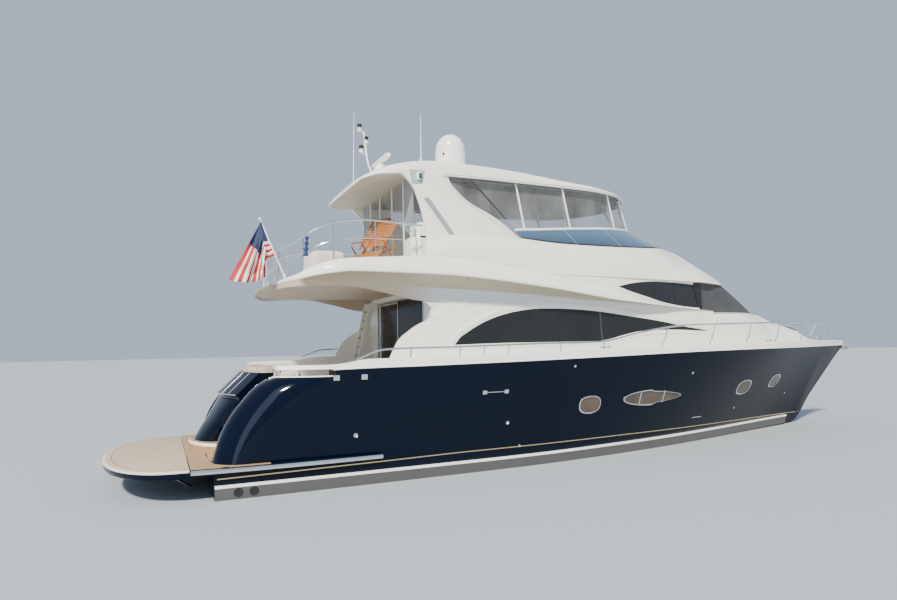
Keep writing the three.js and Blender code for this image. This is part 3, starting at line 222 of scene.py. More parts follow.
def through(xs, ys):
    """A smooth reading of a table's column that doesn't overshoot its rows."""
    xs, ys = np.asarray(xs, float), np.asarray(ys, float)
    steps = np.diff(xs)
    slopes = np.diff(ys) / steps
    tangents = np.concatenate([slopes[:1], slopes])
    before, after = slopes[:-1], slopes[1:]
    mean = (steps[1:] * before + steps[:-1] * after) / (steps[1:] + steps[:-1])
    limit = 3 * np.minimum(abs(before), abs(after))
    tangents[1:-1] = np.where(before * after > 0, np.clip(mean, -limit, limit), 0)

    def reading(x):
        x = float(np.clip(x, xs[0], xs[-1]))
        i = int(np.clip(np.searchsorted(xs, x, side="right") - 1, 0, len(xs) - 2))
        t = (x - xs[i]) / steps[i]
        leaving = ys[i] * (1 + 2 * t) * (1 - t) ** 2 + steps[i] * tangents[i] * t * (1 - t) ** 2
        arriving = ys[i + 1] * t * t * (3 - 2 * t) + steps[i] * tangents[i + 1] * t * t * (t - 1)
        return leaving + arriving

    return reading


def columns(table):
    """Every column of a table whose rows start with x, each as a smooth reading."""
    xs, *others = zip(*table)
    return [through(xs, column) for column in others]


def smoothstep(value, low, high):
    share = min(1, max(0, (value - low) / (high - low)))
    return share * share * (3 - 2 * share)


def evenly(low, high, count):
    return [low + (high - low) * i / count for i in range(count + 1)]


def steps_from(low, high, size):
    return evenly(low, high, max(1, round((high - low) / size)))


class Skin:
    """The points and faces of one piece, gathered sheet by sheet; mark says which finish a face takes."""

    def __init__(self):
        self.points, self.faces, self.marks = [], [], []

    def sheet(self, rows, loop=False, mark=0):
        first, width = len(self.points), len(rows[0])
        for row in rows:
            self.points.extend(tuple(float(c) for c in point) for point in row)
        for i in range(len(rows) - 1):
            for j in range(width if loop else width - 1):
                a, b = first + i * width + j, first + i * width + (j + 1) % width
                self.faces.append((a, b, b + width, a + width))
                self.marks.append(mark(i, j) if callable(mark) else mark)
        return self

    def cap(self, ring, mark=0):
        first = len(self.points)
        self.points.extend(tuple(float(c) for c in point) for point in ring)
        self.faces.append(tuple(range(first, first + len(ring))))
        self.marks.append(mark)
        return self

    def solid(self, rings, mark=0, ends=None):
        self.sheet(rings, loop=True, mark=mark)
        end_mark = ends if ends is not None else (0 if callable(mark) else mark)
        return self.cap(rings[0], end_mark).cap(rings[-1], end_mark)

    def mirror(self):
        first = len(self.points)
        self.points.extend([(x, -y, z) for x, y, z in self.points])
        self.faces.extend([tuple(first + i for i in reversed(face)) for face in self.faces])
        self.marks.extend(self.marks[:])
        return self

    def object(self, name, *materials):
        mesh = bpy.data.meshes.new(name)
        mesh.from_pydata(self.points, [], self.faces)
        mesh.polygons.foreach_set("material_index", self.marks)
        shape = bmesh.new()
        shape.from_mesh(mesh)
        bmesh.ops.remove_doubles(shape, verts=shape.verts, dist=0.0002)
        bmesh.ops.dissolve_degenerate(shape, edges=shape.edges, dist=0.0002)
        bmesh.ops.recalc_face_normals(shape, faces=shape.faces)
        shape.to_mesh(mesh)
        shape.free()
        for material in materials:
            mesh.materials.append(material)
        piece = bpy.data.objects.new(name, mesh)
        bpy.context.scene.collection.objects.link(piece)
        return piece


def settled(piece):
    """The piece with its modifiers worked into its mesh."""
    bpy.context.view_layer.update()
    depsgraph = bpy.context.evaluated_depsgraph_get()
    mesh = bpy.data.meshes.new_from_object(piece.evaluated_get(depsgraph))
    piece.modifiers.clear()
    old, piece.data = piece.data, mesh
    mesh.name = piece.name
    bpy.data.meshes.remove(old)
    return piece


def carve(piece, *cutters, operation="DIFFERENCE"):
    for cutter in cutters:
        tool = cutter.object("cutter") if isinstance(cutter, Skin) else cutter
        modifier = piece.modifiers.new("carve", "BOOLEAN")
        modifier.operation, modifier.object, modifier.solver = operation, tool, "MANIFOLD"
        settled(piece)
        bpy.data.objects.remove(tool)
    return piece


def fit(piece, slot, *replaced, body="yacht", sharp=35):
    """Shade a finished piece and fix it to its body."""
    piece.data.shade_smooth()
    piece.data.set_sharp_from_angle(angle=math.radians(sharp))
    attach(piece, body)
    if replaced:
        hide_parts(*replaced)
    return piece


def rectangle(x0, x1, y0, y1, z):
    return [(x0, y0, z), (x1, y0, z), (x1, y1, z), (x0, y1, z)]


def brick(low, high):
    """A box between two corners, as a Skin."""
    (x0, y0, z0), (x1, y1, z1) = low, high
    return Skin().solid([rectangle(x0, x1, y0, y1, z) for z in (z0, z1)])


def add_brick(skin, low, high):
    """A box between two corners, added to a piece.

    Its upper lid takes in the points of every lid, so it folds over; points[4:8] alone would lie flat.
    """
    points = brick(low, high).points
    return skin.solid([points[:4], points[4:]])


HULL = [
    # x, half beam at the sheer, sheer z, half beam at the chine, chine z, keel z, flare of the topsides
    (-9.25, 2.64, 2.25, 2.43, 0, -0.75, 1),
    (-8.2, 2.66, 2.28, 2.43, 0, -0.80, 1),
    (-7.0, 2.68, 2.33, 2.42, 0, -0.86, 1),
    (-5.0, 2.73, 2.36, 2.38, 0, -0.95, 1),
    (-2.5, 2.75, 2.40, 2.30, 0, -1.06, 1.05),
    (-0.2, 2.75, 2.45, 2.08, 0.01, -1.15, 1.1),
    (2.0, 2.72, 2.50, 1.74, 0.02, -1.20, 1.15),
    (4.2, 2.58, 2.53, 1.27, 0.03, -1.18, 1.2),
    (6.0, 2.30, 2.54, 0.84, 0.04, -1.08, 1.25),
    (7.5, 1.90, 2.545, 0.48, 0.05, -0.85, 1.25),
    (8.6, 1.50, 2.55, 0.24, 0.06, -0.48, 1.25),
    (9.25, 1.22, 2.55, 0.11, 0.08, 0.03, 1.2),
    (10.2, 0.83, 2.55, 0.07, 0.96, 0.90, 1.1),
    (11.1, 0.42, 2.55, 0.045, 1.78, 1.72, 1),
    (11.7, 0.13, 2.55, 0.03, 2.33, 2.27, 1),
    (12.0, 0.03, 2.55, 0.02, 2.54, 2.52, 1),
]
beam, sheer, chine_half, chine_z, keel_z, flare = columns(HULL)
PLATFORM_Z = 0.62
SOLE_Z = 1.85
WELL_HALF = 2.10
WELL_FORE = 3.0
STERN_X = -8.20
WING_TOP = 2.21
WING_INNER = 1.88
WING_START = -7.0
QUARTER_REACH = 1.4
RAKE = [(0.62, -9.25), (0.97, -9.15), (1.32, -9.0), (1.79, -8.66), (2.15, -8.25), (2.21, -8.12)]
raked = through(*zip(*RAKE))


def topside(x, z):
    """Half breadth of the hull at a height, with the quarter's curve in plan aft."""
    share = max(0, (z - chine_z(x)) / (sheer(x) - chine_z(x)))
    breadth = chine_half(x) + (beam(x) - chine_half(x)) * share ** flare(x)
    if z < PLATFORM_Z or x > -5.5:
        return breadth
    corner = raked(z) + QUARTER_REACH
    aft = min(1, (corner - x) / QUARTER_REACH)
    quarter = 2.0 + 0.69 * math.sqrt(1 - aft * aft) if aft > 0 else 2.69 + 0.3 * (x - corner)
    near = max(0, 0.03 - abs(breadth - quarter)) / 0.03
    return min(breadth, quarter) - near * near * 0.0075


TOPSIDE_LEVELS = [0.0, 0.135, 0.27, 0.44, 0.6199, 0.6201, 0.8, 0.97, 1.15, 1.32, 1.48, 1.64, 1.79, 1.93, 2.05,
                  2.15, 2.21]


def hull_row(x, aft=None):
    """Half a section from keel to centreline top; aft is how far along the quarter it lies, from 0 to 1."""
    share = 0 if aft is None else math.sin(math.pi / 2 * aft)
    back = lambda z: WING_START + (raked(z) - WING_START) * share if aft is not None else x
    at = back(0)
    row = [(at, 0, keel_z(at))]
    for i in (1, 2, 3):
        bow_out = 0.02 * math.sin(math.pi * i / 4)
        row.append((at, chine_half(at) * i / 4, keel_z(at) + (chine_z(at) - keel_z(at)) * i / 4 - bow_out))
    for level in TOPSIDE_LEVELS:
        z = level if aft is not None else chine_z(x) + level / sheer(WING_START) * (sheer(x) - chine_z(x))
        row.append((back(z), topside(back(z), z), z))
    top = WING_TOP if aft is not None else sheer(x)
    end = back(top)
    return row + [(end, topside(end, top), top), (end, 0, top)]


navy = Finish("navy", (0.004, 0.009, 0.028), 0.07, Specular_IOR_Level=0.17)
x, y, z = navy.axes()
bottom = navy.span(z, 0.045, 0.04)
wash = navy.noise(0.9, 5, stretch=(0.4, 1, 2))
fine = navy.noise(38, 4)
topcoat = navy.blend(wash, (0.0008, 0.0030, 0.0105), (0.0014, 0.0042, 0.014))
salt = navy.span(z, 0.05, 0.5, 0.16, 0.0, smooth=True) * fine
topcoat = navy.blend(salt, topcoat, (0.05, 0.065, 0.08))
navy.set(Base_Color=navy.blend(bottom, topcoat, (0.012, 0.014, 0.022)))
navy.set(Roughness=navy.span(bottom, 0, 1, 0.07, 0.6) + salt * 0.3
         + navy.span(x, 3.0, 9.5, 0.0, 0.38, smooth=True))
long_wave = navy.noise(0.55, 2, stretch=(0.35, 1, 1))
navy.bump(long_wave * 1.0 + navy.noise(240, 1) * 0.004, 0.006, 0.5)

hull = Skin()
fore_rows = [hull_row(x) for x in steps_from(WING_START, 8.0, 0.2) + steps_from(8.0, 12.0, 0.1)[1:]]
stem = [(x, 0, z) for x, y, z in fore_rows[-1]]
aft_rows = [hull_row(WING_START, i / 18) for i in range(18, -1, -1)]
transom = [(x, 0, z) for x, y, z in aft_rows[0]]
hull.sheet([transom, *aft_rows, *fore_rows, stem]).mirror()
hull = hull.object("hull_shell", navy.material)
well = brick((STERN_X, -WELL_HALF, SOLE_Z), (WELL_FORE, WELL_HALF, 3.2))
between_wings = brick((-9.6, -WING_INNER, PLATFORM_Z), (STERN_X + 0.01, WING_INNER, 3.0))
carve(hull, well, between_wings)
fit(hull, "navy", "hull", "hull_side_stb", "hull_side_port", sharp=28)


# Hull fittings: stainless spray rails with a white capping along the chines, a gilt line above them, oval
# and pointed hull lights in polished frames, small vents and drains, and the exhausts' outlets.
def metal(name, colour, roughness):
    finish = Finish(name, colour, roughness, Metallic=1.0)
    brushed = finish.noise(60, 4, stretch=(0.15, 1, 1))
    finish.set(Roughness=finish.span(brushed, 0.3, 0.7, roughness * 0.8, roughness * 1.35))
    cloud = finish.noise(3, 3)
    finish.set(Base_Color=finish.blend(cloud, tuple(c * 0.88 for c in colour), colour))
    return finish.material


def gelcoat(name, colour, roughness=0.2, grime=0.5):
    finish = Finish(name, colour, roughness)
    cloud = finish.noise(1.3, 4)
    streak = finish.noise(7, 5, stretch=(1.4, 1.4, 0.12))
    base = finish.blend(cloud, tuple(c * 0.965 for c in colour), colour)
    dull = tuple(c * k for c, k in zip(colour, (0.83, 0.81, 0.76)))
    finish.set(Base_Color=finish.blend(finish.span(streak, 0.56, 0.8, 0, grime, smooth=True), base, dull))
    finish.set(Roughness=finish.span(cloud, 0.3, 0.7, roughness * 0.85, roughness * 1.3))
    finish.bump(finish.noise(0.8, 2) * 1.0 + finish.noise(160, 2) * 0.01, 0.004, 0.35)
    return finish.material


def mottled(name, colour, roughness, scale, detail, dark, light):
    """A plain finish whose colour drifts between two near tones."""
    finish = Finish(name, colour, roughness)
    finish.set(Base_Color=finish.blend(finish.noise(scale, detail), dark, light))
    return finish.material


steel = metal("steel", (0.80, 0.81, 0.82), 0.16)
strip_metal = metal("strip_metal", (0.23, 0.22, 0.205), 0.42)
white = gelcoat("gelcoat", (0.95, 0.925, 0.85))
trim_white = gelcoat("trim_white", (0.95, 0.945, 0.92), 0.16, grime=0.2)
RAIL_TOP = 0.27
rail_rows = []
for x in steps_from(-9.245, 8.6, 0.2):
    foot, top = chine_z(x), chine_z(x) + RAIL_TOP
    low, high = topside(x, foot), topside(x, top)
    rail_rows.append([
        (x, low - 0.02, foot), (x, low + 0.068, foot - 0.015), (x, low + 0.075, foot - 0.002),
        (x, high + 0.062, top - 0.05), (x, high + 0.075, top - 0.042), (x, high + 0.072, top - 0.012),
        (x, high + 0.055, top - 0.002), (x, high - 0.02, top + 0.004),
    ])
for side, name in ((-1, "stb"), (1, "port")):
    sided = [[(x, side * y, z) for x, y, z in row] for row in rail_rows]
    strip = Skin().solid(sided, mark=lambda i, j: int(3 <= j <= 6))
    fit(strip.object("spray_strip_" + name, strip_metal, trim_white), "steel", "spray_rail_" + name)

gilt = metal("gilt", (0.78, 0.62, 0.34), 0.3)
GILT_LINE = [(-9.22, 0.39), (-6.0, 0.44), (-3.7, 0.47), (-0.4, 0.47), (4.0, 0.43), (9.7, 0.36)]
gilt_z, = columns(GILT_LINE)
line = Skin()
rows = []
for x in steps_from(-9.2, 9.5, 0.25):
    low, high = gilt_z(x) - 0.011, gilt_z(x) + 0.011
    rows.append([(x, topside(x, z) + out, z)
                 for z, out in ((low, -0.01), (low, 0.003), (high, 0.003), (high, -0.01))])
fit(line.solid(rows).mirror().object("gilt_line", gilt), "bronze")

glass = Finish("dark_glass", (0.011, 0.012, 0.013), 0.05)
glass.set(Base_Color=glass.blend(glass.noise(0.7, 3), (0.008, 0.009, 0.010), (0.02, 0.02, 0.019)))
glass.bump(glass.noise(0.9, 1), 0.004, 0.4)
glass = glass.material
brown_glass = mottled("brown_glass", (0.10, 0.07, 0.045), 0.06, 2.4, 3, (0.035, 0.026, 0.02),
                      (0.17, 0.12, 0.08))


def oval(half_wide, half_high, square=2.6, count=40):
    ring = []
    for a in turns(count):
        c, s = math.cos(a), math.sin(a)
        ring.append((half_wide * math.copysign(abs(c) ** (2 / square), c),
                     half_high * math.copysign(abs(s) ** (2 / square), s)))
    return ring


def lens(half_wide, half_high, count=44):
    """Blunt aft, drawn out to a point forward."""
    ring = []
    for turn in turns(count):
        along = math.cos(turn)
        thin = (1 - 0.42 * (1 + along) / 2) if along > 0 else 1
        ring.append((half_wide * along, half_high * math.sin(turn) * thin))
    return ring


HULL_LIGHTS = [
    # name, x, z, outline, frame width
    ("light_a", -0.83, 1.315, oval(0.30, 0.185), 0.028),
    ("light_b", 5.07, 1.445, oval(0.315, 0.185), 0.028),
    ("light_c", 6.71, 1.555, oval(0.25, 0.175), 0.026),
    ("lens", 1.24, 1.385, lens(1.0, 0.175), 0.03),
]
frames, panes = Skin(), Skin()
for name, at_x, at_z, outline, width in HULL_LIGHTS:
    largest = max(u for u, v in outline)
    highest = max(v for u, v in outline)

    def on_side(u, v, grow, out):
        x, z = at_x + u * (1 + grow / largest), at_z + v * (1 + grow / highest)
        return (x, topside(x, z) + out, z)

    rings = [[on_side(u, v, grow, out) for u, v in outline]
             for grow, out in ((width, -0.01), (width, 0.012), (width * 0.5, 0.024), (0, 0.018),
                               (-0.004, -0.01))]
    frames.sheet(rings, loop=True)
    frames.sheet([rings[-1], rings[0]], loop=True)
    face = [on_side(u, v, 0, 0.004) for u, v in outline]
    back = [on_side(u, v, 0, -0.02) for u, v in outline]
    panes.sheet([face, back], loop=True)
    middle = [[(at_x + u * k, topside(at_x + u * k, at_z + v * k) + 0.004, at_z + v * k) for u, v in outline]
              for k in (1, 0.66, 0.33)]
    panes.sheet(middle, loop=True).cap(middle[-1]).cap(back)
for x in (0.77, 1.60):
    post = [[(x + dx, topside(x, z) + out, z)
             for dx, out in ((-0.014, -0.005), (-0.014, 0.016), (0.014, 0.016), (0.014, -0.005))]
            for z in (1.225, 1.30, 1.38, 1.46, 1.545)]
    frames.solid(post)
fit(frames.mirror().object("hull_light_frames", steel), "steel")
fit(panes.mirror().object("hull_light_panes", brown_glass), "dark_glass")

fittings = Skin()
ROUND_FITTINGS = [
    # x, z, radius
    (-6.59, 1.02, 0.045), (-3.11, 1.04, 0.04), (-2.75, 0.49, 0.03), (2.46, 1.96, 0.035), (5.06, 0.83, 0.03),
    (-1.41, 2.25, 0.03), (7.9, 1.1, 0.03),
]
for x, z, radius in ROUND_FITTINGS:
    rings = [[(x + r * math.cos(a), topside(x + r * math.cos(a), z + r * math.sin(a)) + out,
               z + r * math.sin(a)) for a in turns(16)]
             for r, out in ((radius, -0.01), (radius, 0.008), (radius * 0.75, 0.014), (radius * 0.5, 0.004),
                            (0.002, 0.004))]
    fittings.solid(rings)
PLATES = [
    # x, z, width, height
    (-6.99, 2.18, 0.12, 0.10), (-6.43, 2.18, 0.12, 0.10), (-3.73, 1.745, 0.10, 0.08),
    (-3.19, 1.745, 0.10, 0.08), (-3.46, 1.745, 0.5, 0.014), (3.27, 0.70, 0.42, 0.022),
]
for x, z, wide, high in PLATES:
    rows = []
    for k in (-1, 1):
        at = x + k * wide / 2
        rows.append([(at, topside(at, z + dz) + out, z + dz)
                     for dz, out in ((-high / 2, -0.01), (-high / 2, 0.01), (high / 2, 0.01),
                                     (high / 2, -0.01))])
    fittings.solid(rows)
fit(fittings.mirror().object("hull_fittings", steel), "steel")

black = Finish("black", (0.012, 0.012, 0.013), 0.45)
black.set(Roughness=black.span(black.noise(20, 3), 0.3, 0.7, 0.35, 0.6))
black = black.material
outlets = Skin()
for x in (-8.83, -8.55):
    face = lambda r, out: [(x + r * math.cos(a), topside(x, 0.13) + 0.068 + out, 0.125 + r * math.sin(a))
                           for a in turns(20)]
    rings = [face(0.085, -0.03), face(0.085, 0.012), face(0.07, 0.014), face(0.06, 0.011)]
    outlets.solid(rings)
fit(outlets.mirror().object("exhaust_outlets", black), "steel")


# Main deck: a white moulding on the hull's sheer, with a bright lip along its foot, a low toe rail, a
# non-skid side deck, and aft the cap that bridges the mooring slot.
DECK_THICK, TOE_RAIL = 0.165, 0.025
CAP_END, CAP_FLAT, CAP_RISE, CAP_Z, CAP_UNDER = -8.06, -6.9, -6.16, 2.44, 2.35
SLOT_FORE = -7.05


def rail_top(x):
    share = smoothstep(x, CAP_FLAT, CAP_RISE)
    return CAP_Z + (sheer(x) + DECK_THICK + TOE_RAIL - CAP_Z) * share


def deck_half(x):
    return topside(x, sheer(x)) if x > -5.5 else min(topside(x, 2.3), topside(x, WING_TOP))


deck_finish = Finish("deck_moulding", (0.93, 0.915, 0.865), 0.2)
x, y, z = deck_finish.axes()
normal = deck_finish.node("ShaderNodeNewGeometry", output=1)
facing = deck_finish.node("ShaderNodeSeparateXYZ", (), {0: normal}, output=2)
tread = deck_finish.span(facing, 0.97, 0.985)
grit = deck_finish.node("ShaderNodeTexVoronoi", (), {"Vector": deck_finish.place(), "Scale": 160})
deck_finish.set(Base_Color=deck_finish.blend(tread * 0.55, (0.93, 0.915, 0.865), (0.80, 0.78, 0.72)))
deck_finish.set(Roughness=deck_finish.span(tread, 0, 1, 0.18, 0.6))
deck_finish.bump(tread * grit, 0.002, 0.5)
deck_white = deck_finish.material


def deck_ring(x):
    half, low, rail = deck_half(x), sheer(x) + 0.0005, rail_top(x)
    if x < SLOT_FORE:
        low = CAP_UNDER
    wide = min(1, half / 0.5)
    deck = rail - TOE_RAIL
    row = [(0, low), (half - 0.04 * wide, low), (half + 0.014 * wide, low + 0.002),
           (half + 0.02 * wide, low + 0.012), (half + 0.014 * wide, low + 0.024), (half + 0.002, low + 0.032),
           (half - 0.004, rail - 0.03), (half - 0.012 * wide, rail - 0.008), (half - 0.028 * wide, rail),
           (half - 0.058 * wide, rail), (half - 0.072 * wide, rail - 0.008), (half - 0.085 * wide, deck),
           (half * 0.6, deck + 0.004), (0, deck + 0.006),]
    return [(x, y, z) for y, z in row]


deck = Skin()
stations = sorted({CAP_END, SLOT_FORE - 0.001, SLOT_FORE + 0.001, *steps_from(-8.0, 12.0, 0.16)[:-1], 11.99})
rows = [deck_ring(x) for x in stations if x >= CAP_END]
deck.sheet(rows).cap(rows[0]).cap(rows[-1]).mirror()
deck = deck.object("deck_moulding", deck_white)
carve(deck, brick((-9.0, -WELL_HALF, 1.0), (WELL_FORE, WELL_HALF, 3.4)))
fit(deck, "gelcoat", "main_deck", "side_deck_stb", "side_deck_port", sharp=40)

posts = Skin()
for x, y0, y1 in ((-8.035, 2.102, 2.19), (-7.6, 2.102, 2.16)):
    posts.solid([rectangle(x - 0.025, x + 0.025, y0, y1, z) for z in (2.205, 2.355)])
fit(posts.mirror().object("slot_posts", steel), "steel")
edge = Skin()
rows = []
for i in range(19):
    share = math.sin(math.pi / 2 * i / 18)
    x = WING_START - 0.06 + (raked(WING_TOP) + 0.005 - WING_START + 0.06) * share
    y = topside(x, WING_TOP)
    rows.append([(x, y - 0.05, 2.208), (x, y + 0.006, 2.208), (x, y + 0.008, 2.222), (x, y - 0.004, 2.232),
                 (x, y - 0.05, 2.232)])
fit(edge.solid(rows).mirror().object("wing_edging", trim_white), "gelcoat")
liner = Skin()
for side in (-1, 1):
    y0, y1 = side * 2.088, side * 2.0995
    ring = lambda x: [(x, y0, SOLE_Z + 0.002), (x, y1, SOLE_Z + 0.002), (x, y1, rail_top(x) - 0.03),
                      (x, side * 2.096, rail_top(x) - 0.012), (x, y0, rail_top(x) - 0.02)]
    liner.solid([ring(x) for x in steps_from(-6.95, -4.76, 0.2)])
    low = lambda x: [(x, y0, SOLE_Z + 0.002), (x, y1, SOLE_Z + 0.002), (x, y1, WING_TOP + 0.004),
                     (x, y0, WING_TOP + 0.004)]
    liner.solid([low(x) for x in (-8.19, -7.6, -6.95)])
fit(liner.object("cockpit_liner", white), "gelcoat")


# Swim platform: the fixed strip is oiled teak, laid fore and aft with black caulking, inside a polished
# rub rail that runs forward along each side. The lift platform abaft it is weathered silver teak.
def teak(name, dark, light, plank, seam=(0.02, 0.018, 0.016)):
    finish = Finish(name, light, 0.62)
    x, y, z = finish.axes()
    strip = y / plank
    number = finish.function("FLOOR", strip)
    part = finish.function("FRACT", strip)
    caulk = finish.function("LESS_THAN", part, 0.006 / plank)
    grain = finish.noise(9, 6, 0.62, stretch=(0.5, 9, 1))
    board = finish.node("ShaderNodeTexWhiteNoise", {"noise_dimensions": "1D"}, {"W": number})
    wear = finish.noise(0.8, 4)
    tone = finish.blend(grain, dark, light)
    tone = finish.blend(board * 0.35, tone, tuple(c * 0.72 for c in light))
    tone = finish.blend(finish.span(wear, 0.45, 0.75, 0, 0.3, smooth=True), tone,
                        tuple(c * 1.15 for c in light))
    finish.set(Base_Color=finish.blend(caulk, tone, seam))
    finish.set(Roughness=finish.span(grain, 0.3, 0.7, 0.5, 0.75))
    finish.bump(grain * (1 - caulk), 0.0015, 0.6)
    return finish.material


oiled_teak = teak("teak", (0.36, 0.21, 0.11), (0.55, 0.36, 0.20), 0.055)
grey_teak = teak("weathered_teak", (0.47, 0.36, 0.26), (0.60, 0.48, 0.36), 0.062, seam=(0.30, 0.23, 0.165))
PLATFORM_SIDE = [(-9.655, 2.56), (-9.25, 2.59), (-8.0, 2.62), (-7.0, 2.60), (-6.05, 2.56)]
platform_half, = columns(PLATFORM_SIDE)
platform = Skin()
for side in (-1, 1):
    rows = []
    for x in steps_from(-9.655, -6.05, 0.12):
        outer = platform_half(x)
        inner = 0 if x < -9.2 else topside(x, 0.55) - 0.02
        rows.append([(x, side * inner, 0.49), (x, side * (outer - 0.01), 0.49), (x, side * outer, 0.505),
                     (x, side * outer, 0.60), (x, side * (outer - 0.012), 0.6185), (x, side * inner, 0.6185)])
    platform.solid(rows)
platform = platform.object("platform_moulding", navy.material)
fit(platform, "teak", "swim_platform")
rub = Skin()
rows = []
for x in steps_from(-9.65, -6.04, 0.12):
    y = platform_half(x)
    rows.append([(x, y - 0.004, 0.515), (x, y + 0.02, 0.522), (x, y + 0.03, 0.545), (x, y + 0.03, 0.575),
                 (x, y + 0.02, 0.598), (x, y - 0.004, 0.606)])
fit(rub.solid(rows).mirror().object("platform_rub_rail", steel), "steel")
planking = Skin()
for side in (-1, 1):
    rows = []
    for x in steps_from(-9.65, -8.25, 0.1):
        inner = 0 if x < -9.27 else topside(x, 0.63) + 0.004
        outer = platform_half(x) - 0.018
        inner = min(inner, outer - 0.001)
        rows.append([(x, side * inner, 0.6186), (x, side * outer, 0.6186), (x, side * outer, 0.628),
                     (x, side * inner, 0.628)])
    planking.solid(rows)
add_brick(planking, (-9.27, -1.875, 0.6205), (-8.21, 1.875, 0.628))
fit(planking.object("platform_planking", oiled_teak), "teak")

JOINT_X = -9.66
lift_outline = []
for i in range(65):
    angle = math.pi * i / 64 - math.pi / 2
    lift_outline.append((JOINT_X - 0.01 - 1.54 * max(0, math.cos(angle)) ** 0.75, 2.55 * math.sin(angle)))


def drawn_in(outline, distance):
    """An outline, running round to port by way of the stern, moved inwards."""
    moved = []
    for i, (x, y) in enumerate(outline):
        (x0, y0), (x1, y1) = outline[max(0, i - 1)], outline[min(len(outline) - 1, i + 1)]
        length = math.hypot(x1 - x0, y1 - y0)
        moved.append((min(x + (y1 - y0) / length * distance, JOINT_X - 0.01),
                      y - (x1 - x0) / length * distance))
    return moved


def lift_level(inset, z):
    return [(x, y, z) for x, y in drawn_in(lift_outline, inset)]


moulding = Skin()
levels = [lift_level(i, z) for i, z in ((0.06, 0.458), (0.015, 0.475), (0.0, 0.50), (0.0, 0.575),
                                        (0.008, 0.60), (0.03, 0.614), (0.06, 0.614))]
moulding.solid(levels, mark=lambda i, j: 1 if i >= 3 else 0, ends=0)
lift = moulding.object("lift_moulding", navy.material, gelcoat("platform_edge", (0.74, 0.68, 0.60), 0.4))
fit(lift, "weathered_teak", "lift_platform", body="lift_platform")
boards = Skin()
boards.solid([lift_level(0.05, 0.6142), lift_level(0.05, 0.621), lift_level(0.055, 0.623)])
field = boards.object("lift_planking", grey_teak)
fit(field, "weathered_teak", body="lift_platform")
groove = Skin()
outer, inner = lift_level(0.16, 0.6232), lift_level(0.172, 0.6232)
groove.sheet([[(x, y, 0.6225) for x, y, z in outer], outer, inner, [(x, y, 0.6225) for x, y, z in inner]])
groove.sheet([[(x, y, 0.6225) for x, y, z in inner], [(x, y, 0.6225) for x, y, z in outer]])
fit(groove.object("lift_margin_seam", black), "weathered_teak", body="lift_platform")


# Transom: a teak-topped plinth, the convex dark pod on it with a hinged lid under its beige head, and
# moulded steps up to the cockpit on each side with teak treads and small courtesy lights.
beige = gelcoat("lining", (0.52, 0.44, 0.32), 0.45, grime=0.25)
POD_FRONT = STERN_X - 0.001
POD = [
    # z, aft x on the centreline, aft x at the corners, half width
    (0.84, -9.47, -9.25, 0.70),
    (1.08, -9.33, -9.13, 0.80),
    (1.31, -9.18, -8.98, 0.92),
    (1.51, -9.06, -8.88, 1.04),
    (1.73, -8.925, -8.725, 1.15),
]


def bowed(z, aft, corner, half, drawn=0.0):
    """A level's outline, its after edge bowing aft and its corners rounded."""
    ring = [(POD_FRONT, -half, z)]
    for i in range(-14, 15):
        share = i / 14
        turn = abs(share) ** 7 * 0.1
        ring.append((aft + (corner - aft) * share ** 2 + turn + drawn,
                     half * share * (1 - abs(share) ** 8 * 0.012), z))
    return ring + [(POD_FRONT, half, z)]


pod_aft, pod_corner, pod_half = columns(POD)
pod = Skin()
pod.solid([bowed(z, pod_aft(z), pod_corner(z), pod_half(z)) for z in steps_from(0.84, 1.73, 0.06)])
pod = pod.object("pod_foot", navy.material)
fit(pod, "navy", "transom_pod")
plinth = Skin()
plinth.solid([bowed(z, -9.57, -9.15, 1.10, drawn)
              for z, drawn in ((0.626, 0.02), (0.79, 0.0), (0.825, 0.0), (0.842, 0.02))],
             mark=lambda i, j: 1 if i >= 1 else 0, ends=1)
fit(plinth.object("pod_plinth", oiled_teak, trim_white), "gelcoat")
plinth_top = Skin()
plinth_top.solid([bowed(z, -9.57, -9.15, 1.08, 0.035) for z in (0.8415, 0.852)])
fit(plinth_top.object("plinth_tread", oiled_teak), "teak")

LID_HALF, LID_BOW = 1.15, 0.265
LID_FOOT, LID_TOP = (-8.93, 1.79), (-8.45, 2.25)
HEAD_X, HEAD_Z = -7.96, 2.40
head_stations = evenly(-1.17, 1.17, 24)
box_rows, head_rows = [], []
for y in head_stations:
    bow = LID_BOW * (y / LID_HALF) ** 2
    top_x, foot_x = LID_TOP[0] + bow, LID_FOOT[0] + bow
    box_rows.append([(POD_FRONT, y, 1.72), (POD_FRONT, y, SOLE_Z + 0.001), (HEAD_X, y, SOLE_Z + 0.001),
                     (HEAD_X, y, 2.27), (top_x + 0.03, y, 2.27), (top_x + 0.03, y, LID_TOP[1]),
                     (top_x, y, LID_TOP[1]), (foot_x, y, LID_FOOT[1]), (foot_x + 0.02, y, 1.72)])
    head_rows.append([(HEAD_X, y * 1.003, 2.271), (HEAD_X, y * 1.003, 2.385), (HEAD_X - 0.015, y, HEAD_Z),
                      (top_x + 0.13, y, HEAD_Z), (top_x + 0.08, y, 2.385), (top_x + 0.045, y * 1.003, 2.34),
                      (top_x + 0.032, y * 1.003, 2.271)])
fit(Skin().solid(box_rows).object("pod_box", navy.material), "navy")
fit(Skin().solid(head_rows).object("pod_head", beige), "lining", sharp=50)
slope = math.atan2(LID_TOP[1] - LID_FOOT[1], LID_TOP[0] - LID_FOOT[0])


def on_lid(along, y, out):
    """A point on the lid, along its slope from 0 at its foot to 1 at its top."""
    bow = LID_BOW * (y / LID_HALF) ** 2
    x = LID_FOOT[0] + (LID_TOP[0] - LID_FOOT[0]) * along + bow
    z = LID_FOOT[1] + (LID_TOP[1] - LID_FOOT[1]) * along
    return (x - out * math.sin(slope), y, z + out * math.cos(slope))


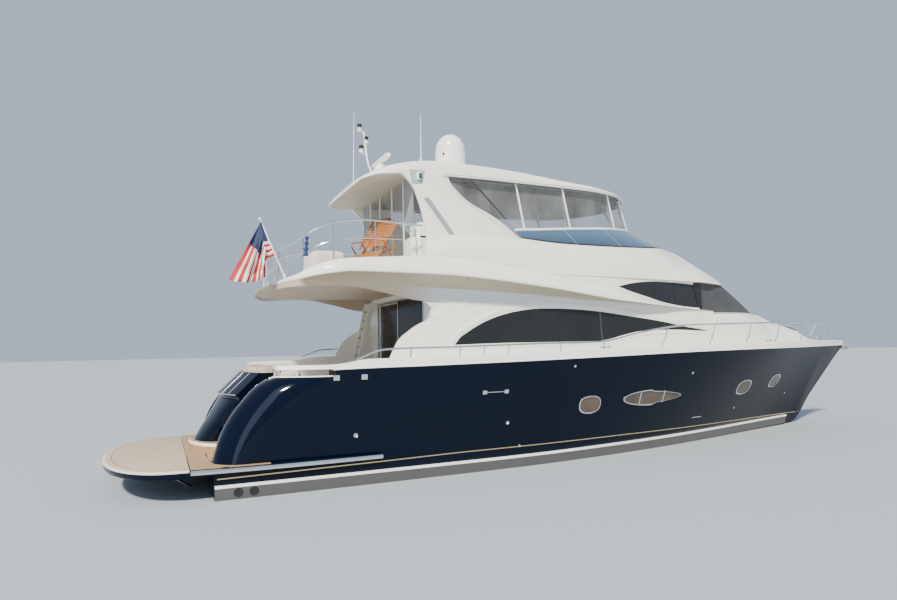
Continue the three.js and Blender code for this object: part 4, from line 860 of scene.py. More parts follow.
lid = Skin()
rows = []
for i in range(-12, 13):
    y = 1.13 * i / 12
    rows.append([on_lid(a, y, out)
                 for a, out in ((0.0, 0.004), (0.0, 0.030), (0.015, 0.040), (0.985, 0.040), (1.0, 0.030),
                                (1.0, 0.004))])
fit(lid.solid(rows).object("pod_lid", navy.material), "navy", "locker_lid", body="locker_lid")
strips = Skin()
for y in (-0.76, -0.36, 0.36, 0.76):
    strips.solid([[on_lid(0.04 + 0.92 * i / 8, y + dy, out)
                   for dy, out in ((-0.012, 0.036), (-0.008, 0.047), (0.008, 0.047), (0.012, 0.036))]
                  for i in range(9)])
strips.solid([[on_lid(0.012 + da, 1.12 * i / 12, out)
               for da, out in ((-0.014, 0.036), (-0.010, 0.055), (0.010, 0.055), (0.014, 0.036))]
              for i in range(-12, 13)])
fit(strips.object("lid_strips", steel), "steel", body="locker_lid")

STEP_RUN, STEPS = 0.27, 4
rise = (SOLE_Z - PLATFORM_Z) / STEPS
blocks, treads, lights = Skin(), Skin(), Skin()
for i in range(1, STEPS):
    aft = POD_FRONT - STEP_RUN * (STEPS - i)
    top = PLATFORM_Z + rise * i
    inner = 0.99 if top < 1.2 else 1.05
    low = PLATFORM_Z + 0.008
    ring = lambda y: [(aft, y, low), (aft + 0.004, y, top - 0.05), (aft - 0.018, y, top - 0.04),
                      (aft - 0.02, y, top - 0.012), (aft - 0.008, y, top), (aft + STEP_RUN + 0.001, y, top),
                      (aft + STEP_RUN + 0.001, y, low)]
    blocks.solid([ring(inner), ring(1.879)])
    treads.solid([[(aft + 0.01, y, top), (aft + 0.01, y, top + 0.010), (aft + 0.02, y, top + 0.013),
                   (aft + STEP_RUN - 0.01, y, top + 0.013), (aft + STEP_RUN - 0.01, y, top)]
                  for y in (inner + 0.04, 1.85)])
    lamp = lambda x, r: [(x, 1.46 + r * math.cos(a), top - rise / 2 + r * math.sin(a)) for a in turns(14)]
    rings = [lamp(aft + 0.01, 0.028), lamp(aft - 0.006, 0.028), lamp(aft - 0.009, 0.02),
             lamp(aft - 0.004, 0.012)]
    lights.solid(rings)
fit(blocks.mirror().object("stern_steps", trim_white), "gelcoat", sharp=50)
fit(treads.mirror().object("stern_treads", oiled_teak), "teak")
fit(lights.mirror().object("step_lights", steel), "steel")


# Cockpit: a teak sole laid fore and aft, a white settee base with fitted cushions along the pod's head, and
# by the bulkhead to port a steep ladder to the flybridge, white stringers with teak treads.
sole = Skin()
for x0, x1, y0, y1 in ((HEAD_X, -4.756, -2.085, 2.085), (STERN_X, HEAD_X, 1.175, 1.878),
                       (STERN_X, HEAD_X, -1.878, -1.175)):
    add_brick(sole, (x0 + 0.001, y0, SOLE_Z + 0.0004), (x1 + 0.001, y1, SOLE_Z + 0.011))
fit(sole.object("cockpit_sole", oiled_teak), "teak")

cloth = Finish("cushion", (0.74, 0.68, 0.56), 0.75, Sheen_Weight=0.3)
x, y, z = cloth.axes()
THREADS = 2400
along, across, upright = (cloth.function("SINE", axis * THREADS) for axis in (x, y, z))
weave = along * across * 0.5 + upright * 0.5
patch = cloth.noise(3.5, 4)
cloth.set(Base_Color=cloth.blend(patch, (0.66, 0.60, 0.49), (0.78, 0.72, 0.61)))
cloth.bump(weave * 0.3 + cloth.noise(14, 3), 0.002, 0.5)
cushion_cloth = cloth.material


def cushion(name, low, high, crown=0.025, radius=0.045, replaced=()):
    """A sewn pad: a rounded block with crowned faces and sides that pull in between its corners."""
    (x0, y0, z0), (x1, y1, z1) = low, high
    centre = Vector(((x0 + x1) / 2, (y0 + y1) / 2, (z0 + z1) / 2))
    half = Vector(((x1 - x0) / 2, (y1 - y0) / 2, (z1 - z0) / 2))
    mesh = bpy.data.meshes.new(name)
    shape = bmesh.new()
    bmesh.ops.create_cube(shape, size=2)
    bmesh.ops.subdivide_edges(shape, edges=shape.edges, cuts=11, use_grid_fill=True)
    for vert in shape.verts:
        p = vert.co.copy()
        core = Vector([max(-1 + radius / half[k], min(1 - radius / half[k], p[k])) for k in range(3)])
        away = Vector([(p[k] - core[k]) * half[k] for k in range(3)])
        length = away.length
        base = Vector([core[k] * half[k] for k in range(3)])
        at = base + (away / length * radius if length > 1e-6 else away)
        bulge = [1 - (p[(k + 1) % 3] ** 2 + p[(k + 2) % 3] ** 2) / 2 for k in range(3)]
        flat = min(half)
        for k in range(3):
            grow = crown if half[k] == flat else crown * 0.35
            at[k] += math.copysign(grow * max(0, bulge[k]) ** 1.2, p[k]) * abs(p[k]) ** 3
            if half[k] != flat:
                pull = 0.012 * (1 - p[(k + 1) % 3] ** 2) * (1 - p[(k + 2) % 3] ** 2)
                at[k] -= math.copysign(pull, p[k]) * abs(p[k]) ** 3 * (1 - crown * 8)
        at += centre
        vert.co = at
    shape.to_mesh(mesh)
    shape.free()
    mesh.materials.append(cushion_cloth)
    piece = bpy.data.objects.new(name, mesh)
    bpy.context.scene.collection.objects.link(piece)
    soften = piece.modifiers.new("soften", "SUBSURF")
    soften.levels = soften.render_levels = 1
    settled(piece)
    fit(piece, "cushion", *replaced, sharp=80)
    return piece


base = Skin()
ring = lambda y: [(HEAD_X + 0.002, y, SOLE_Z + 0.011), (-7.54, y, SOLE_Z + 0.011), (-7.5, y, SOLE_Z + 0.06),
                  (-7.49, y, 2.10), (-7.51, y, 2.12), (HEAD_X + 0.002, y, 2.12)]
fit(base.solid([ring(-1.15), ring(1.15)]).object("settee_base", white), "gelcoat", "cockpit_settee")
for i, y in enumerate((-1.145, -0.38, 0.385), 1):
    cushion("settee_seat_%d" % i, (-7.80, y, 2.12), (-7.482, y + 0.76, 2.27))
    cushion("settee_back_%d" % i, (-7.955, y, 2.125), (-7.80, y + 0.76, 2.39), crown=0.02)

LADDER_FOOT, LADDER_HEAD = (-5.40, 1.861), (-4.89, 3.95)
LADDER_Y0, LADDER_Y1, TREADS = 1.54, 2.04, 8
stringers = Skin()
for y0, y1 in ((LADDER_Y0, LADDER_Y0 + 0.035), (LADDER_Y1 - 0.035, LADDER_Y1)):
    profile = lambda y, k: [(LADDER_FOOT[0] - k, y, LADDER_FOOT[1]), (LADDER_FOOT[0] + k, y, LADDER_FOOT[1]),
                            (LADDER_HEAD[0] + k, y, LADDER_HEAD[1]), (LADDER_HEAD[0] - k, y, LADDER_HEAD[1])]
    stringers.solid([profile(y0, 0.064), profile(y0 + 0.006, 0.07), profile(y1 - 0.006, 0.07),
                     profile(y1, 0.064)])
fit(stringers.object("ladder_stringers", white), "gelcoat", "fly_stairs")


def socket_of(group, name):
    return next(item.identifier for item in group.interface.items_tree if item.name == name)


def repeated(name, group_inputs, build, material):
    """Geometry Nodes: build(tree, input node) gives the instances' socket; the result is a plain mesh."""
    group = bpy.data.node_groups.new(name, "GeometryNodeTree")
    for label, kind, value in group_inputs:
        group.interface.new_socket(label, in_out="INPUT", socket_type=kind)
    group.interface.new_socket("Geometry", in_out="OUTPUT", socket_type="NodeSocketGeometry")
    given = group.nodes.new("NodeGroupInput")
    result = group.nodes.new("NodeGroupOutput")
    instances = build(group, given)
    realized = group.nodes.new("GeometryNodeRealizeInstances")
    painted = group.nodes.new("GeometryNodeSetMaterial")
    painted.inputs["Material"].default_value = material
    group.links.new(instances, realized.inputs[0])
    group.links.new(realized.outputs[0], painted.inputs["Geometry"])
    group.links.new(painted.outputs[0], result.inputs[0])
    piece = bpy.data.objects.new(name, bpy.data.meshes.new(name))
    bpy.context.scene.collection.objects.link(piece)
    modifier = piece.modifiers.new("repeat", "NODES")
    modifier.node_group = group
    for label, kind, value in group_inputs:
        modifier[socket_of(group, label)] = value
    return settled(piece)


def tread_row(group, given):
    line = group.nodes.new("GeometryNodeMeshLine")
    line.mode = "OFFSET"
    group.links.new(given.outputs["Count"], line.inputs["Count"])
    group.links.new(given.outputs["Start"], line.inputs["Start Location"])
    group.links.new(given.outputs["Step"], line.inputs["Offset"])
    board = group.nodes.new("GeometryNodeMeshCube")
    group.links.new(given.outputs["Size"], board.inputs["Size"])
    place = group.nodes.new("GeometryNodeInstanceOnPoints")
    group.links.new(line.outputs[0], place.inputs["Points"])
    group.links.new(board.outputs[0], place.inputs["Instance"])
    return place.outputs[0]


def board_row(name, count, start, step, size, material, bevel=0.003):
    """A row of like boards, their arrises eased."""
    inputs = [("Count", "NodeSocketInt", count), ("Start", "NodeSocketVector", start),
              ("Step", "NodeSocketVector", step), ("Size", "NodeSocketVector", size)]
    piece = repeated(name, inputs, tread_row, material)
    eased = piece.modifiers.new("eased", "BEVEL")
    eased.width, eased.segments = bevel, 2
    return settled(piece)


tread_run = (LADDER_HEAD[0] - LADDER_FOOT[0]) / (TREADS + 1)
tread_rise = (LADDER_HEAD[1] - LADDER_FOOT[1]) / (TREADS + 1)
middle = (LADDER_Y0 + LADDER_Y1) / 2
first_tread = (LADDER_FOOT[0] + tread_run, middle, LADDER_FOOT[1] + tread_rise)
treads = board_row("ladder_treads", TREADS, first_tread, (tread_run, 0, tread_rise),
                   (0.12, LADDER_Y1 - LADDER_Y0 - 0.072, 0.026), oiled_teak)
fit(treads, "teak")


# Salon's after bulkhead, painted white, with white jambs round dark sliding glass with drawn curtains.
BULKHEAD_X = -4.75
curtained = Finish("curtained_glass", (0.02, 0.02, 0.021), 0.16, Specular_IOR_Level=0.12)
x, y, z = curtained.axes()
# The curtains behind the glass are drawn as folds in colour: painted shade in their troughs and painted light
# on their crests.
fold = curtained.function("SINE", y * 46 + curtained.noise(1.5, 3, stretch=(0, 1, 0.2)) * 9)
fold_shade = curtained.span(fold, -1, 1, smooth=True)
curtained.set(Base_Color=curtained.blend(fold_shade, (0.003, 0.003, 0.003), (0.030, 0.027, 0.022)))
curtained = curtained.material
pane = brick((BULKHEAD_X + 0.012, -1.70, 1.88), (BULKHEAD_X + 0.019, -0.05, 3.9))
fit(pane.object("salon_pane", curtained), "dark_glass")
framing = Skin()
for y0, y1, z0, z1 in ((-1.74, -1.69, 1.86, 3.93), (-0.075, -0.045, 1.88, 3.9), (1.475, 1.52, 1.86, 3.93),
                       (-1.74, 1.52, 3.89, 3.93), (-1.74, 1.52, 1.861, 1.885)):
    add_brick(framing, (BULKHEAD_X - 0.012, y0, z0), (BULKHEAD_X + 0.02, y1, z1))
fit(framing.object("salon_pane_frame", steel), "steel")
door = add_brick(Skin(), (-4.695, -0.07, 1.93), (-4.677, 1.43, 3.85))
fit(door.object("door_glass", curtained), "dark_glass", "salon_door", body="salon_door")
door = Skin()
for y0, y1, z0, z1 in ((-0.11, -0.06, 1.881, 3.894), (1.42, 1.472, 1.881, 3.894), (-0.11, 1.472, 1.881, 1.94),
                       (-0.11, 1.472, 3.84, 3.894)):
    add_brick(door, (-4.698, y0, z0), (-4.674, y1, z1))
add_brick(door, (-4.72, 1.43, 2.75), (-4.698, 1.452, 3.05))
fit(door.object("door_frame", steel), "steel", body="salon_door")
jambs = Skin()
for side in (-1, 1):
    add_brick(jambs, (-4.758, side * 2.13 - 0.045, 3.30), (-4.30, side * 2.13 + 0.045, 3.72))
    rows = []
    for x, low in ((-4.95, 3.712), (-4.86, 3.69), (-4.78, 3.62), (-4.72, 3.54), (-4.68, 3.45), (-4.55, 3.50),
                   (-4.40, 3.66)):
        rows.append([(x, side * y, z) for y, z in ((2.20, low), (2.15, low), (2.15, 3.72), (2.20, 3.72))])
    jambs.solid(rows)
fit(jambs.object("house_jambs", white), "gelcoat")
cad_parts["aft_bulkhead"].data.materials.clear()
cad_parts["aft_bulkhead"].data.materials.append(white)


# Deckhouse sides: one white moulding a side, swept up aft, with an arched salon window of dark glass set
# behind a raised band, and a low moulding under the window that climbs forward.
HOUSE = [(-5.9, 2.29), (-4.6, 2.33), (-1.0, 2.33), (1.0, 2.26), (2.5, 2.12), (4.0, 1.90)]
house_half, = columns(HOUSE)


def house_y(x, z):
    return house_half(x) - 0.11 * (z - 2.6)


WALL = 0.07


def wall_row(half_at, x, side, levels, outer, inner):
    """A section of one side: up its outer face and down its inner one, each set in by its own measure."""
    return [(x, side * (half_at(x, z) - inset), z)
            for inset, run in ((outer, levels), (inner, levels[::-1])) for z in run]


def mullion(skin, half_at, x, side, low, high, wide, face, mark=0):
    """An upright bar in a side's glass, its face set in from the wall's."""
    section = ((-wide, 0.02), (-wide, face), (wide, face), (wide, 0.02))
    skin.solid([[(x + dx, side * (half_at(x, z) - inset), z) for dx, inset in section]
                for z in evenly(low, high, 4)], mark=mark)


SIDE_TOP = [(-5.74, 2.56), (-5.58, 2.85), (-5.29, 3.11), (-4.76, 3.41), (-4.4, 3.70), (-4.38, 3.722),
            (-0.1, 3.722), (0.7, 3.718), (1.5, 3.682), (2.6, 3.64), (3.9, 3.59)]
side_top, = columns(SIDE_TOP)
ARCH = [(-4.27, 2.79), (-4.15, 2.93), (-3.95, 3.06), (-3.53, 3.28), (-3.0, 3.46), (-2.42, 3.57),
        (-1.61, 3.605), (-0.38, 3.55), (0.61, 3.44), (1.73, 3.31), (2.6, 3.18), (3.55, 3.065)]
SILL = [(-4.27, 2.785), (-3.4, 2.805), (-0.45, 2.825), (-0.1, 2.86), (0.43, 2.97), (0.87, 3.045),
        (1.28, 3.075), (2.17, 3.09), (3.55, 3.05)]
arch, = columns(ARCH)
sill, = columns(SILL)
for side, name in ((-1, "stb"), (1, "port")):
    wall = Skin()
    rows = []
    for x in sorted({*steps_from(-5.74, -4.38, 0.04), *steps_from(-4.38, 3.9, 0.15)}):
        low, high = rail_top(x) - 0.07, max(side_top(x), rail_top(x) - 0.02)
        rows.append(wall_row(house_y, x, side, evenly(low, high, 8), 0, WALL))
    wall = wall.solid(rows).object("house_side_" + name, white)
    cut = []
    for x in steps_from(-4.27, 3.55, 0.06):
        low, high = sill(x), arch(x)
        cut.append([(x, side * y, z) for y, z in ((2.7, low), (1.5, low), (1.5, high), (2.7, high))])
    carve(wall, Skin().solid(cut))
    fit(wall, "gelcoat", "deckhouse_side_" + name)
    light = Skin()
    rows = []
    for x in steps_from(-4.262, 3.5, 0.08):
        rows.append(wall_row(house_y, x, side, evenly(sill(x) + 0.001, arch(x) - 0.001, 6), 0.016, 0.03))
    fit(light.solid(rows).object("salon_light_" + name, glass), "dark_glass", "salon_glass_" + name)
    band = Skin()
    rows = []
    curve = [(x, arch(x)) for x in steps_from(-4.27, 3.3, 0.08)]
    for i, (x, z) in enumerate(curve):
        (x0, z0), (x1, z1) = curve[max(0, i - 1)], curve[min(len(curve) - 1, i + 1)]
        length = math.hypot(x1 - x0, z1 - z0)
        nx, nz = -(z1 - z0) / length, (x1 - x0) / length
        wide = 0.155 * (1 - smoothstep(x, 1.2, 3.3) * 0.8)
        section = ((0.03, -0.01), (0.035, 0.008), (0.05, 0.014), (wide - 0.02, 0.014), (wide - 0.004, 0.008),
                   (wide, -0.01))
        rows.append([(x + nx * d, side * (house_y(x + nx * d, z + nz * d) + out), z + nz * d)
                     for d, out in section])
    fit(band.solid(rows).object("arch_band_" + name, white), "gelcoat")
    mullions = Skin()
    for x, wide, lit in ((-2.3, 0.016, 0), (-1.52, 0.008, 0), (-0.295, 0.014, 1), (1.65, 0.012, 0)):
        mullion(mullions, house_y, x, side, sill(x) + 0.004, arch(x) - 0.004, wide, 0.009, lit)
    fit(mullions.object("salon_mullions_" + name, black, strip_metal), "gelcoat")
    ledge = Skin()
    LEDGE = [(-4.6, 2.72), (-0.5, 2.765), (0.0, 2.80), (0.5, 2.90), (1.0, 2.975), (2.2, 3.0), (3.85, 2.99)]
    ledge_z, = columns(LEDGE)
    rows = []
    for x in steps_from(-4.6, 3.85, 0.1):
        z = ledge_z(x)
        rows.append([(x, side * (house_y(x, z + dz) + out), z + dz)
                     for dz, out in ((-0.045, -0.01), (-0.03, 0.004), (0.0, 0.016), (0.02, 0.012),
                                     (0.03, -0.01))])
    fit(ledge.solid(rows).object("sill_moulding_" + name, white), "gelcoat")


# Foredeck trunk: a low white moulding that runs from under the windshield down to the foredeck, with a
# smoked hatch near its forward end.
TRUNK = [
    # x, half width at the deck, half width at the shoulder, top z
    (3.88, 1.90, 1.74, 3.592),
    (5.2, 1.69, 1.42, 3.61),
    (6.4, 1.40, 0.88, 3.62),
    (7.0, 1.24, 0.46, 3.615),
    (7.4, 1.13, 0.24, 3.61),
    (8.0, 0.96, 0.26, 3.42),
    (8.8, 0.73, 0.37, 3.18),
    (9.6, 0.49, 0.24, 2.97),
    (10.25, 0.28, 0.09, 2.79),
]
trunk_base, trunk_shoulder, trunk_top = columns(TRUNK)
trunk = Skin()
rows = []
for x in steps_from(3.88, 10.25, 0.1):
    base, shoulder, top = trunk_base(x), trunk_shoulder(x), trunk_top(x)
    foot = rail_top(x) - 0.08
    row = [(x, 0, foot), (x, base + 0.02, foot), (x, base + 0.02, foot + 0.06), (x, base, foot + 0.10)]
    high = top - (top - foot) * (0.22 + 0.12 * smoothstep(x, 5.6, 7.2))
    points = [(base, foot + 0.10), ((base + shoulder) / 2 + 0.04, high - 0.03),
              (shoulder + 0.03, top - 0.045), (shoulder - 0.06, top - 0.018), (0, top)]
    for k in range(1, 13):
        t = k / 12 * 4
        i = min(3, int(t))
        f = t - i
        p0, p1, p2, p3 = points[max(0, i - 1)], points[i], points[i + 1], points[min(4, i + 2)]
        y, z = (0.5 * (2 * b + (c - a) * f + (2 * a - 5 * b + 4 * c - d) * f * f
                       + (3 * b - a - 3 * c + d) * f ** 3) for a, b, c, d in zip(p0, p1, p2, p3))
        row.append((x, max(0, y) if k < 12 else 0, z))
    rows.append(row)
first, last = ([(x, 0, z) for x, y, z in row] for row in (rows[0], rows[-1]))
trunk.sheet([first, *rows, last]).mirror()
fit(trunk.object("trunk_moulding", white), "gelcoat", "foredeck_trunk", sharp=50)
HATCH_AFT, HATCH_FORE = 8.85, 9.40


def hatch_ring(grow, out):
    """The hatch's outline on the trunk's slope, grown by one measure and raised by the other."""
    aft_z, fore_z = trunk_top(HATCH_AFT), trunk_top(HATCH_FORE)
    half = (HATCH_FORE - HATCH_AFT) / 2
    return [(HATCH_AFT + half + u, v, aft_z + (fore_z - aft_z) * (u + half) / (2 * half) + out)
            for u, v in oval(half + grow, 0.27 + grow, square=6, count=36)]


hatch = Skin().solid([hatch_ring(*step) for step in ((-0.004, 0.012), (0, 0.032), (0, 0.05), (-0.012, 0.06))])
fit(hatch.object("hatch_lens", glass), "dark_glass", "foredeck_hatch", body="foredeck_hatch")
rings = [hatch_ring(*step) for step in ((0.035, -0.03), (0.035, 0), (0.02, 0.011), (-0.02, 0.011),
                                        (-0.03, -0.03))]
hatch_frame = Skin().sheet([*rings, rings[0]], loop=True)
fit(hatch_frame.object("hatch_coaming", trim_white), "gelcoat")


# Flybridge deck: a white moulding whose rounded lip overhangs the cockpit and sweeps forward and down into
# the deckhouse; its underside is lined in beige, with small lights along the lip.
FASCIA = [
    # x, lip half width, lip z, lower edge z, crest z, crest half width
    (-7.92, 1.30, 4.105, 3.995, 4.14, 1.26),
    (-7.80, 1.80, 4.125, 4.00, 4.185, 1.75),
    (-7.60, 2.15, 4.15, 4.005, 4.25, 2.09),
    (-7.35, 2.42, 4.20, 4.02, 4.38, 2.34),
    (-7.00, 2.60, 4.25, 4.035, 4.50, 2.49),
    (-6.60, 2.66, 4.29, 4.04, 4.56, 2.52),
    (-5.90, 2.66, 4.29, 3.93, 4.62, 2.46),
    (-5.10, 2.66, 4.28, 3.76, 4.68, 2.39),
    (-4.50, 2.66, 4.27, 3.722, 4.70, 2.34),
    (-3.70, 2.66, 4.22, 3.722, 4.67, 2.32),
    (-2.50, 2.65, 4.11, 3.722, 4.52, 2.29),
    (-1.75, 2.63, 4.03, 3.722, 4.41, 2.265),
    (-1.10, 2.61, 3.95, 3.722, 4.29, 2.24),
    (-0.10, 2.54, 3.83, 3.722, 4.17, 2.19),
    (0.70, 2.45, 3.77, 3.718, 4.06, 2.12),
    (1.50, 2.30, 3.72, 3.682, 3.88, 2.03),
    (2.60, 2.06, 3.665, 3.64, 3.69, 1.85),
    (3.60, 1.86, 3.62, 3.602, 3.63, 1.69),
    (3.90, 1.80, 3.606, 3.591, 3.612, 1.64),
]
lip_half, lip_z, edge_z, crest_z, crest_half = columns(FASCIA)
FLY_SOLE = 4.45
CEILING = 4.04
AFT_END = -7.92


def fascia_ring(x):
    lip_y, lip, low, crest, crest_y = lip_half(x), lip_z(x), edge_z(x), crest_z(x), crest_half(x)
    edge_y = min(lip_y - 0.01, house_y(x, low) + 0.002)
    ceiling = max(min(CEILING, lip - 0.005), low + 0.004) if x < 1.5 else low
    floor = min(FLY_SOLE - 0.05, crest - 0.005) if x < -1.5 else crest
    inner = min(edge_y - WALL - 0.01, crest_y - 0.08)
    under, rise = lip_y - edge_y, lip - low
    tall = crest - lip
    row = [(0, ceiling), (inner - 0.06, ceiling), (inner, low + 0.0005), (edge_y, low + 0.0005)]
    for share_y, share_z in ((0.10, 0.30), (0.24, 0.52), (0.45, 0.70), (0.68, 0.83), (0.88, 0.925)):
        row.append((edge_y + under * share_y, low + rise * share_z))
    nose = min(0.03, tall * 0.25, rise * 0.3)
    row += [(lip_y - nose * 0.35, lip - nose * 0.4), (lip_y, lip + nose * 0.1),
            (lip_y + 0.001, lip + nose * 0.8), (lip_y - nose * 0.25, lip + nose * 1.7)]
    start_y, start_z = row[-1]
    for k in range(1, 7):
        t = k / 6
        belly = 0.028 * math.sin(math.pi * t) * min(1, tall / 0.4)
        row.append((start_y + (crest_y + 0.006 - start_y) * t ** 1.25 + belly,
                    start_z + (crest - 0.02 - start_z) * t))
    row += [(crest_y - 0.006, crest - 0.004), (crest_y - 0.02, crest), (crest_y - 0.07, crest),
            (crest_y - 0.085, crest - 0.012), (crest_y - 0.09, floor), (0, floor)]
    return [(x, y, z) for y, z in row]


fly = Skin()
rows = [fascia_ring(x) for x in sorted({*steps_from(AFT_END, -6.96, 0.06), *steps_from(-6.96, 3.9, 0.14)})]
aft_rows = []
mid_z = lip_z(AFT_END) + 0.02
for i in range(1, 7):
    turn = math.pi / 2 * i / 6
    shrink = math.cos(turn)
    aft_rows.append([(AFT_END - 0.13 * math.sin(turn) * (1 - (y / 1.3) ** 2 * 0.45),
                      y * (1 - 0.04 * (1 - shrink)), mid_z + (z - mid_z) * shrink) for x, y, z in rows[0]])
first, last = ([(x, 0, z) for x, y, z in row] for row in (aft_rows[-1], rows[-1]))
fly.sheet([first, *reversed(aft_rows), *rows, last],
          mark=lambda i, j: 0 if j > 8 else (2 if 2 <= j <= 4 else 1))
fly.mirror()
# The lower band of the lip's underside, next to the house, is white gelcoat in painted shade: a pale
# blue-grey for shaded white with a painted reflection of the sky, which blends aft into the beige of the
# lining.
cove_painted_shade = Finish("cove_painted_shade", (0.66, 0.67, 0.66), 0.4)
x, y, z = cove_painted_shade.axes()
shaded_white_tone = cove_painted_shade.blend(cove_painted_shade.noise(2.5, 3), (0.60, 0.635, 0.65), (0.66, 0.69, 0.70))
cove_painted_shade.set(Base_Color=cove_painted_shade.blend(cove_painted_shade.span(x, -5.7, -4.3, smooth=True), (0.52, 0.44, 0.32), shaded_white_tone))
fly = fly.object("fly_moulding", white, beige, cove_painted_shade.material)
fit(fly, "gelcoat", "flybridge_deck", sharp=42)

lamp_skin = Skin()
for x in (-7.5, -6.18, -4.1, -2.11, -0.13):
    z = lip_z(x) - 0.035
    y = lip_half(x) - 0.035
    rings = []
    for r, out in ((0.032, -0.02), (0.034, 0.012), (0.026, 0.018), (0.018, 0.012), (0.002, 0.012)):
        rings.append([(x + r * math.cos(a), y + out * 0.6 - r * 0.5 * math.sin(a),
                       z - out * 0.6 + r * 0.8 * math.sin(a)) for a in turns(16)])
    lamp_skin.solid(rings)
fit(lamp_skin.mirror().object("lip_lights", steel), "steel")
hatch = Skin().solid([rectangle(-5.72 + k, -4.95 - k, 1.50 + k, 2.08 - k, z)
                      for k, z in ((0, 4.40), (0, 4.425), (0.02, 4.44))])
fit(hatch.object("stair_hatch", trim_white), "gelcoat")
teak_fly = add_brick(Skin(), (-7.15, -1.72, 4.4002), (-4.95, 1.25, 4.412))
fit(teak_fly.object("fly_deck_teak", grey_teak), "weathered_teak")


# Pilothouse: white side walls that sweep up under the flybridge, dark side windows with slim mullions, a
# black pillar, and a windshield under a fitted grey mesh cover.
PILOT_TOP, HEAD_END = 4.41, 3.38
PILOT_WINDOW = [(0.34, 4.185), (0.9, 4.29), (1.56, 4.35), (2.5, 4.36), (3.38, 4.34)]
PILOT_SILL = [(0.34, 4.18), (0.75, 4.07), (1.2, 3.975), (1.9, 3.83), (2.7, 3.735), (3.5, 3.695)]
pilot_head, = columns(PILOT_WINDOW)
pilot_sill, = columns(PILOT_SILL)


def pilot_y(x, z):
    return crest_half(x) - 0.008 - 0.1 * (z - crest_z(x))


for side, name in ((-1, "stb"), (1, "port")):
    rows = []
    for x in steps_from(-1.7, 3.6, 0.1):
        low = crest_z(x) + 0.0003
        rows.append(wall_row(pilot_y, x, side, evenly(low, PILOT_TOP, 8), 0, 0.06))
    wall = Skin().solid(rows).object("pilot_wall_" + name, white)
    cut = []
    for x in steps_from(0.34, 3.5, 0.06):
        low, high = pilot_sill(x), pilot_head(min(x, HEAD_END))
        cut.append([(x, side * y, z) for y, z in ((2.6, low), (1.3, low), (1.3, high), (2.6, high))])
    carve(wall, Skin().solid(cut))
    fit(wall, "gelcoat", "pilothouse_side_" + name)
    light = Skin()
    rows = []
    for x in steps_from(0.355, 3.495, 0.08):
        low, high = pilot_sill(x) + 0.001, pilot_head(min(x, HEAD_END)) - 0.001
        rows.append(wall_row(pilot_y, x, side, evenly(low, high, 5), 0.014, 0.028))
    fit(light.solid(rows).object("pilot_light_" + name, glass), "dark_glass", "pilothouse_glass_" + name)
    bars = Skin()
    for x in (1.685, 2.49):
        mullion(bars, pilot_y, x, side, pilot_sill(x) + 0.003, pilot_head(x) - 0.003, 0.010, 0.008)
    bars.solid([[(x + dx, side * (pilot_y(min(x, 3.6), z) + out), z)
                 for dx, out in ((-0.05, -0.02), (-0.05, 0.005), (wide, 0.005), (wide, -0.02))]
                for x, z, wide in ((3.34, 4.395, 0.262), (3.40, 4.16, 0.203), (3.47, 3.92, 0.135),
                                   (3.54, 3.65, 0.065))])
    fit(bars.object("pilot_mullions_" + name, black), "dark_glass")

mesh_cloth = Finish("mesh_cover", (0.10, 0.105, 0.11), 0.7)
x, y, z = mesh_cloth.axes()
knit = mesh_cloth.function("SINE", y * 1500) * mesh_cloth.function("SINE", z * 1500)
sag = mesh_cloth.noise(1.8, 3)
mesh_cloth.set(Base_Color=mesh_cloth.blend(sag, (0.035, 0.037, 0.040), (0.075, 0.078, 0.082)))
mesh_cloth.bump(knit * 0.2 + sag * 2.0, 0.006, 0.5)
mesh_cloth = mesh_cloth.material
SHIELD_AFT, SHIELD_HALF, SHIELD_TOP_HALF = 3.68, 1.60, 1.54
SHIELD_FORE = (7.25, 5.75)
SHIELD_Z = (3.57, 4.425)


def shield_point(share, up_share, out=0.0):
    """A point of the windshield: share runs athwartships from -1 to 1, up_share from its foot to its head."""
    plan = max(0.0, 1 - abs(share) ** 2.2)
    low_x = SHIELD_AFT + (SHIELD_FORE[0] - SHIELD_AFT) * plan
    high_x = SHIELD_AFT + (SHIELD_FORE[1] - SHIELD_AFT) * plan
    half = SHIELD_HALF + (SHIELD_TOP_HALF - SHIELD_HALF) * up_share
    top = SHIELD_Z[1] + 0.04 * plan
    belly = 0.05 * math.sin(math.pi * up_share) * plan
    z = SHIELD_Z[0] + (top - SHIELD_Z[0]) * up_share
    x = low_x + (high_x - low_x) * up_share + belly + out * (0.6 * plan + 0.1)
    return (x, half * share * (1 + out * 0.35), z + out * 0.6)


def shield_shell(low, high, outer, inner, reach=1.0, count=48):
    skin = Skin()
    levels = evenly(low, high, 8)
    rows = []
    for i in range(-count, count + 1):
        share = math.sin(math.pi / 2 * i / count) * reach
        rows.append([shield_point(share, t, outer) for t in levels]
                    + [shield_point(share, t, inner) for t in reversed(levels)])
    return skin.solid(rows)


fit(shield_shell(0, 1, 0.0, -0.045, 0.997).object("windshield_cover", mesh_cloth), "mesh_cover", "windshield",
    sharp=50)
seams = Skin()
for share in (-0.42, 0.0, 0.42):
    rows = []
    for t in evenly(0, 1, 10):
        rows.append([shield_point(share + ds, t, out)
                     for ds, out in ((-0.012, -0.004), (-0.008, 0.006), (0.008, 0.006), (0.012, -0.004))])
    seams.solid(rows)
for t in (0.02, 0.975):
    rows = []
    for i in range(-36, 37):
        share = math.sin(math.pi / 2 * i / 36) * 0.99
        rows.append([shield_point(share, t + dt, out)
                     for dt, out in ((-0.015, -0.004), (-0.01, 0.007), (0.01, 0.007), (0.015, -0.004))])
    seams.solid(rows)
fit(seams.object("cover_seams", mesh_cloth), "mesh_cover")
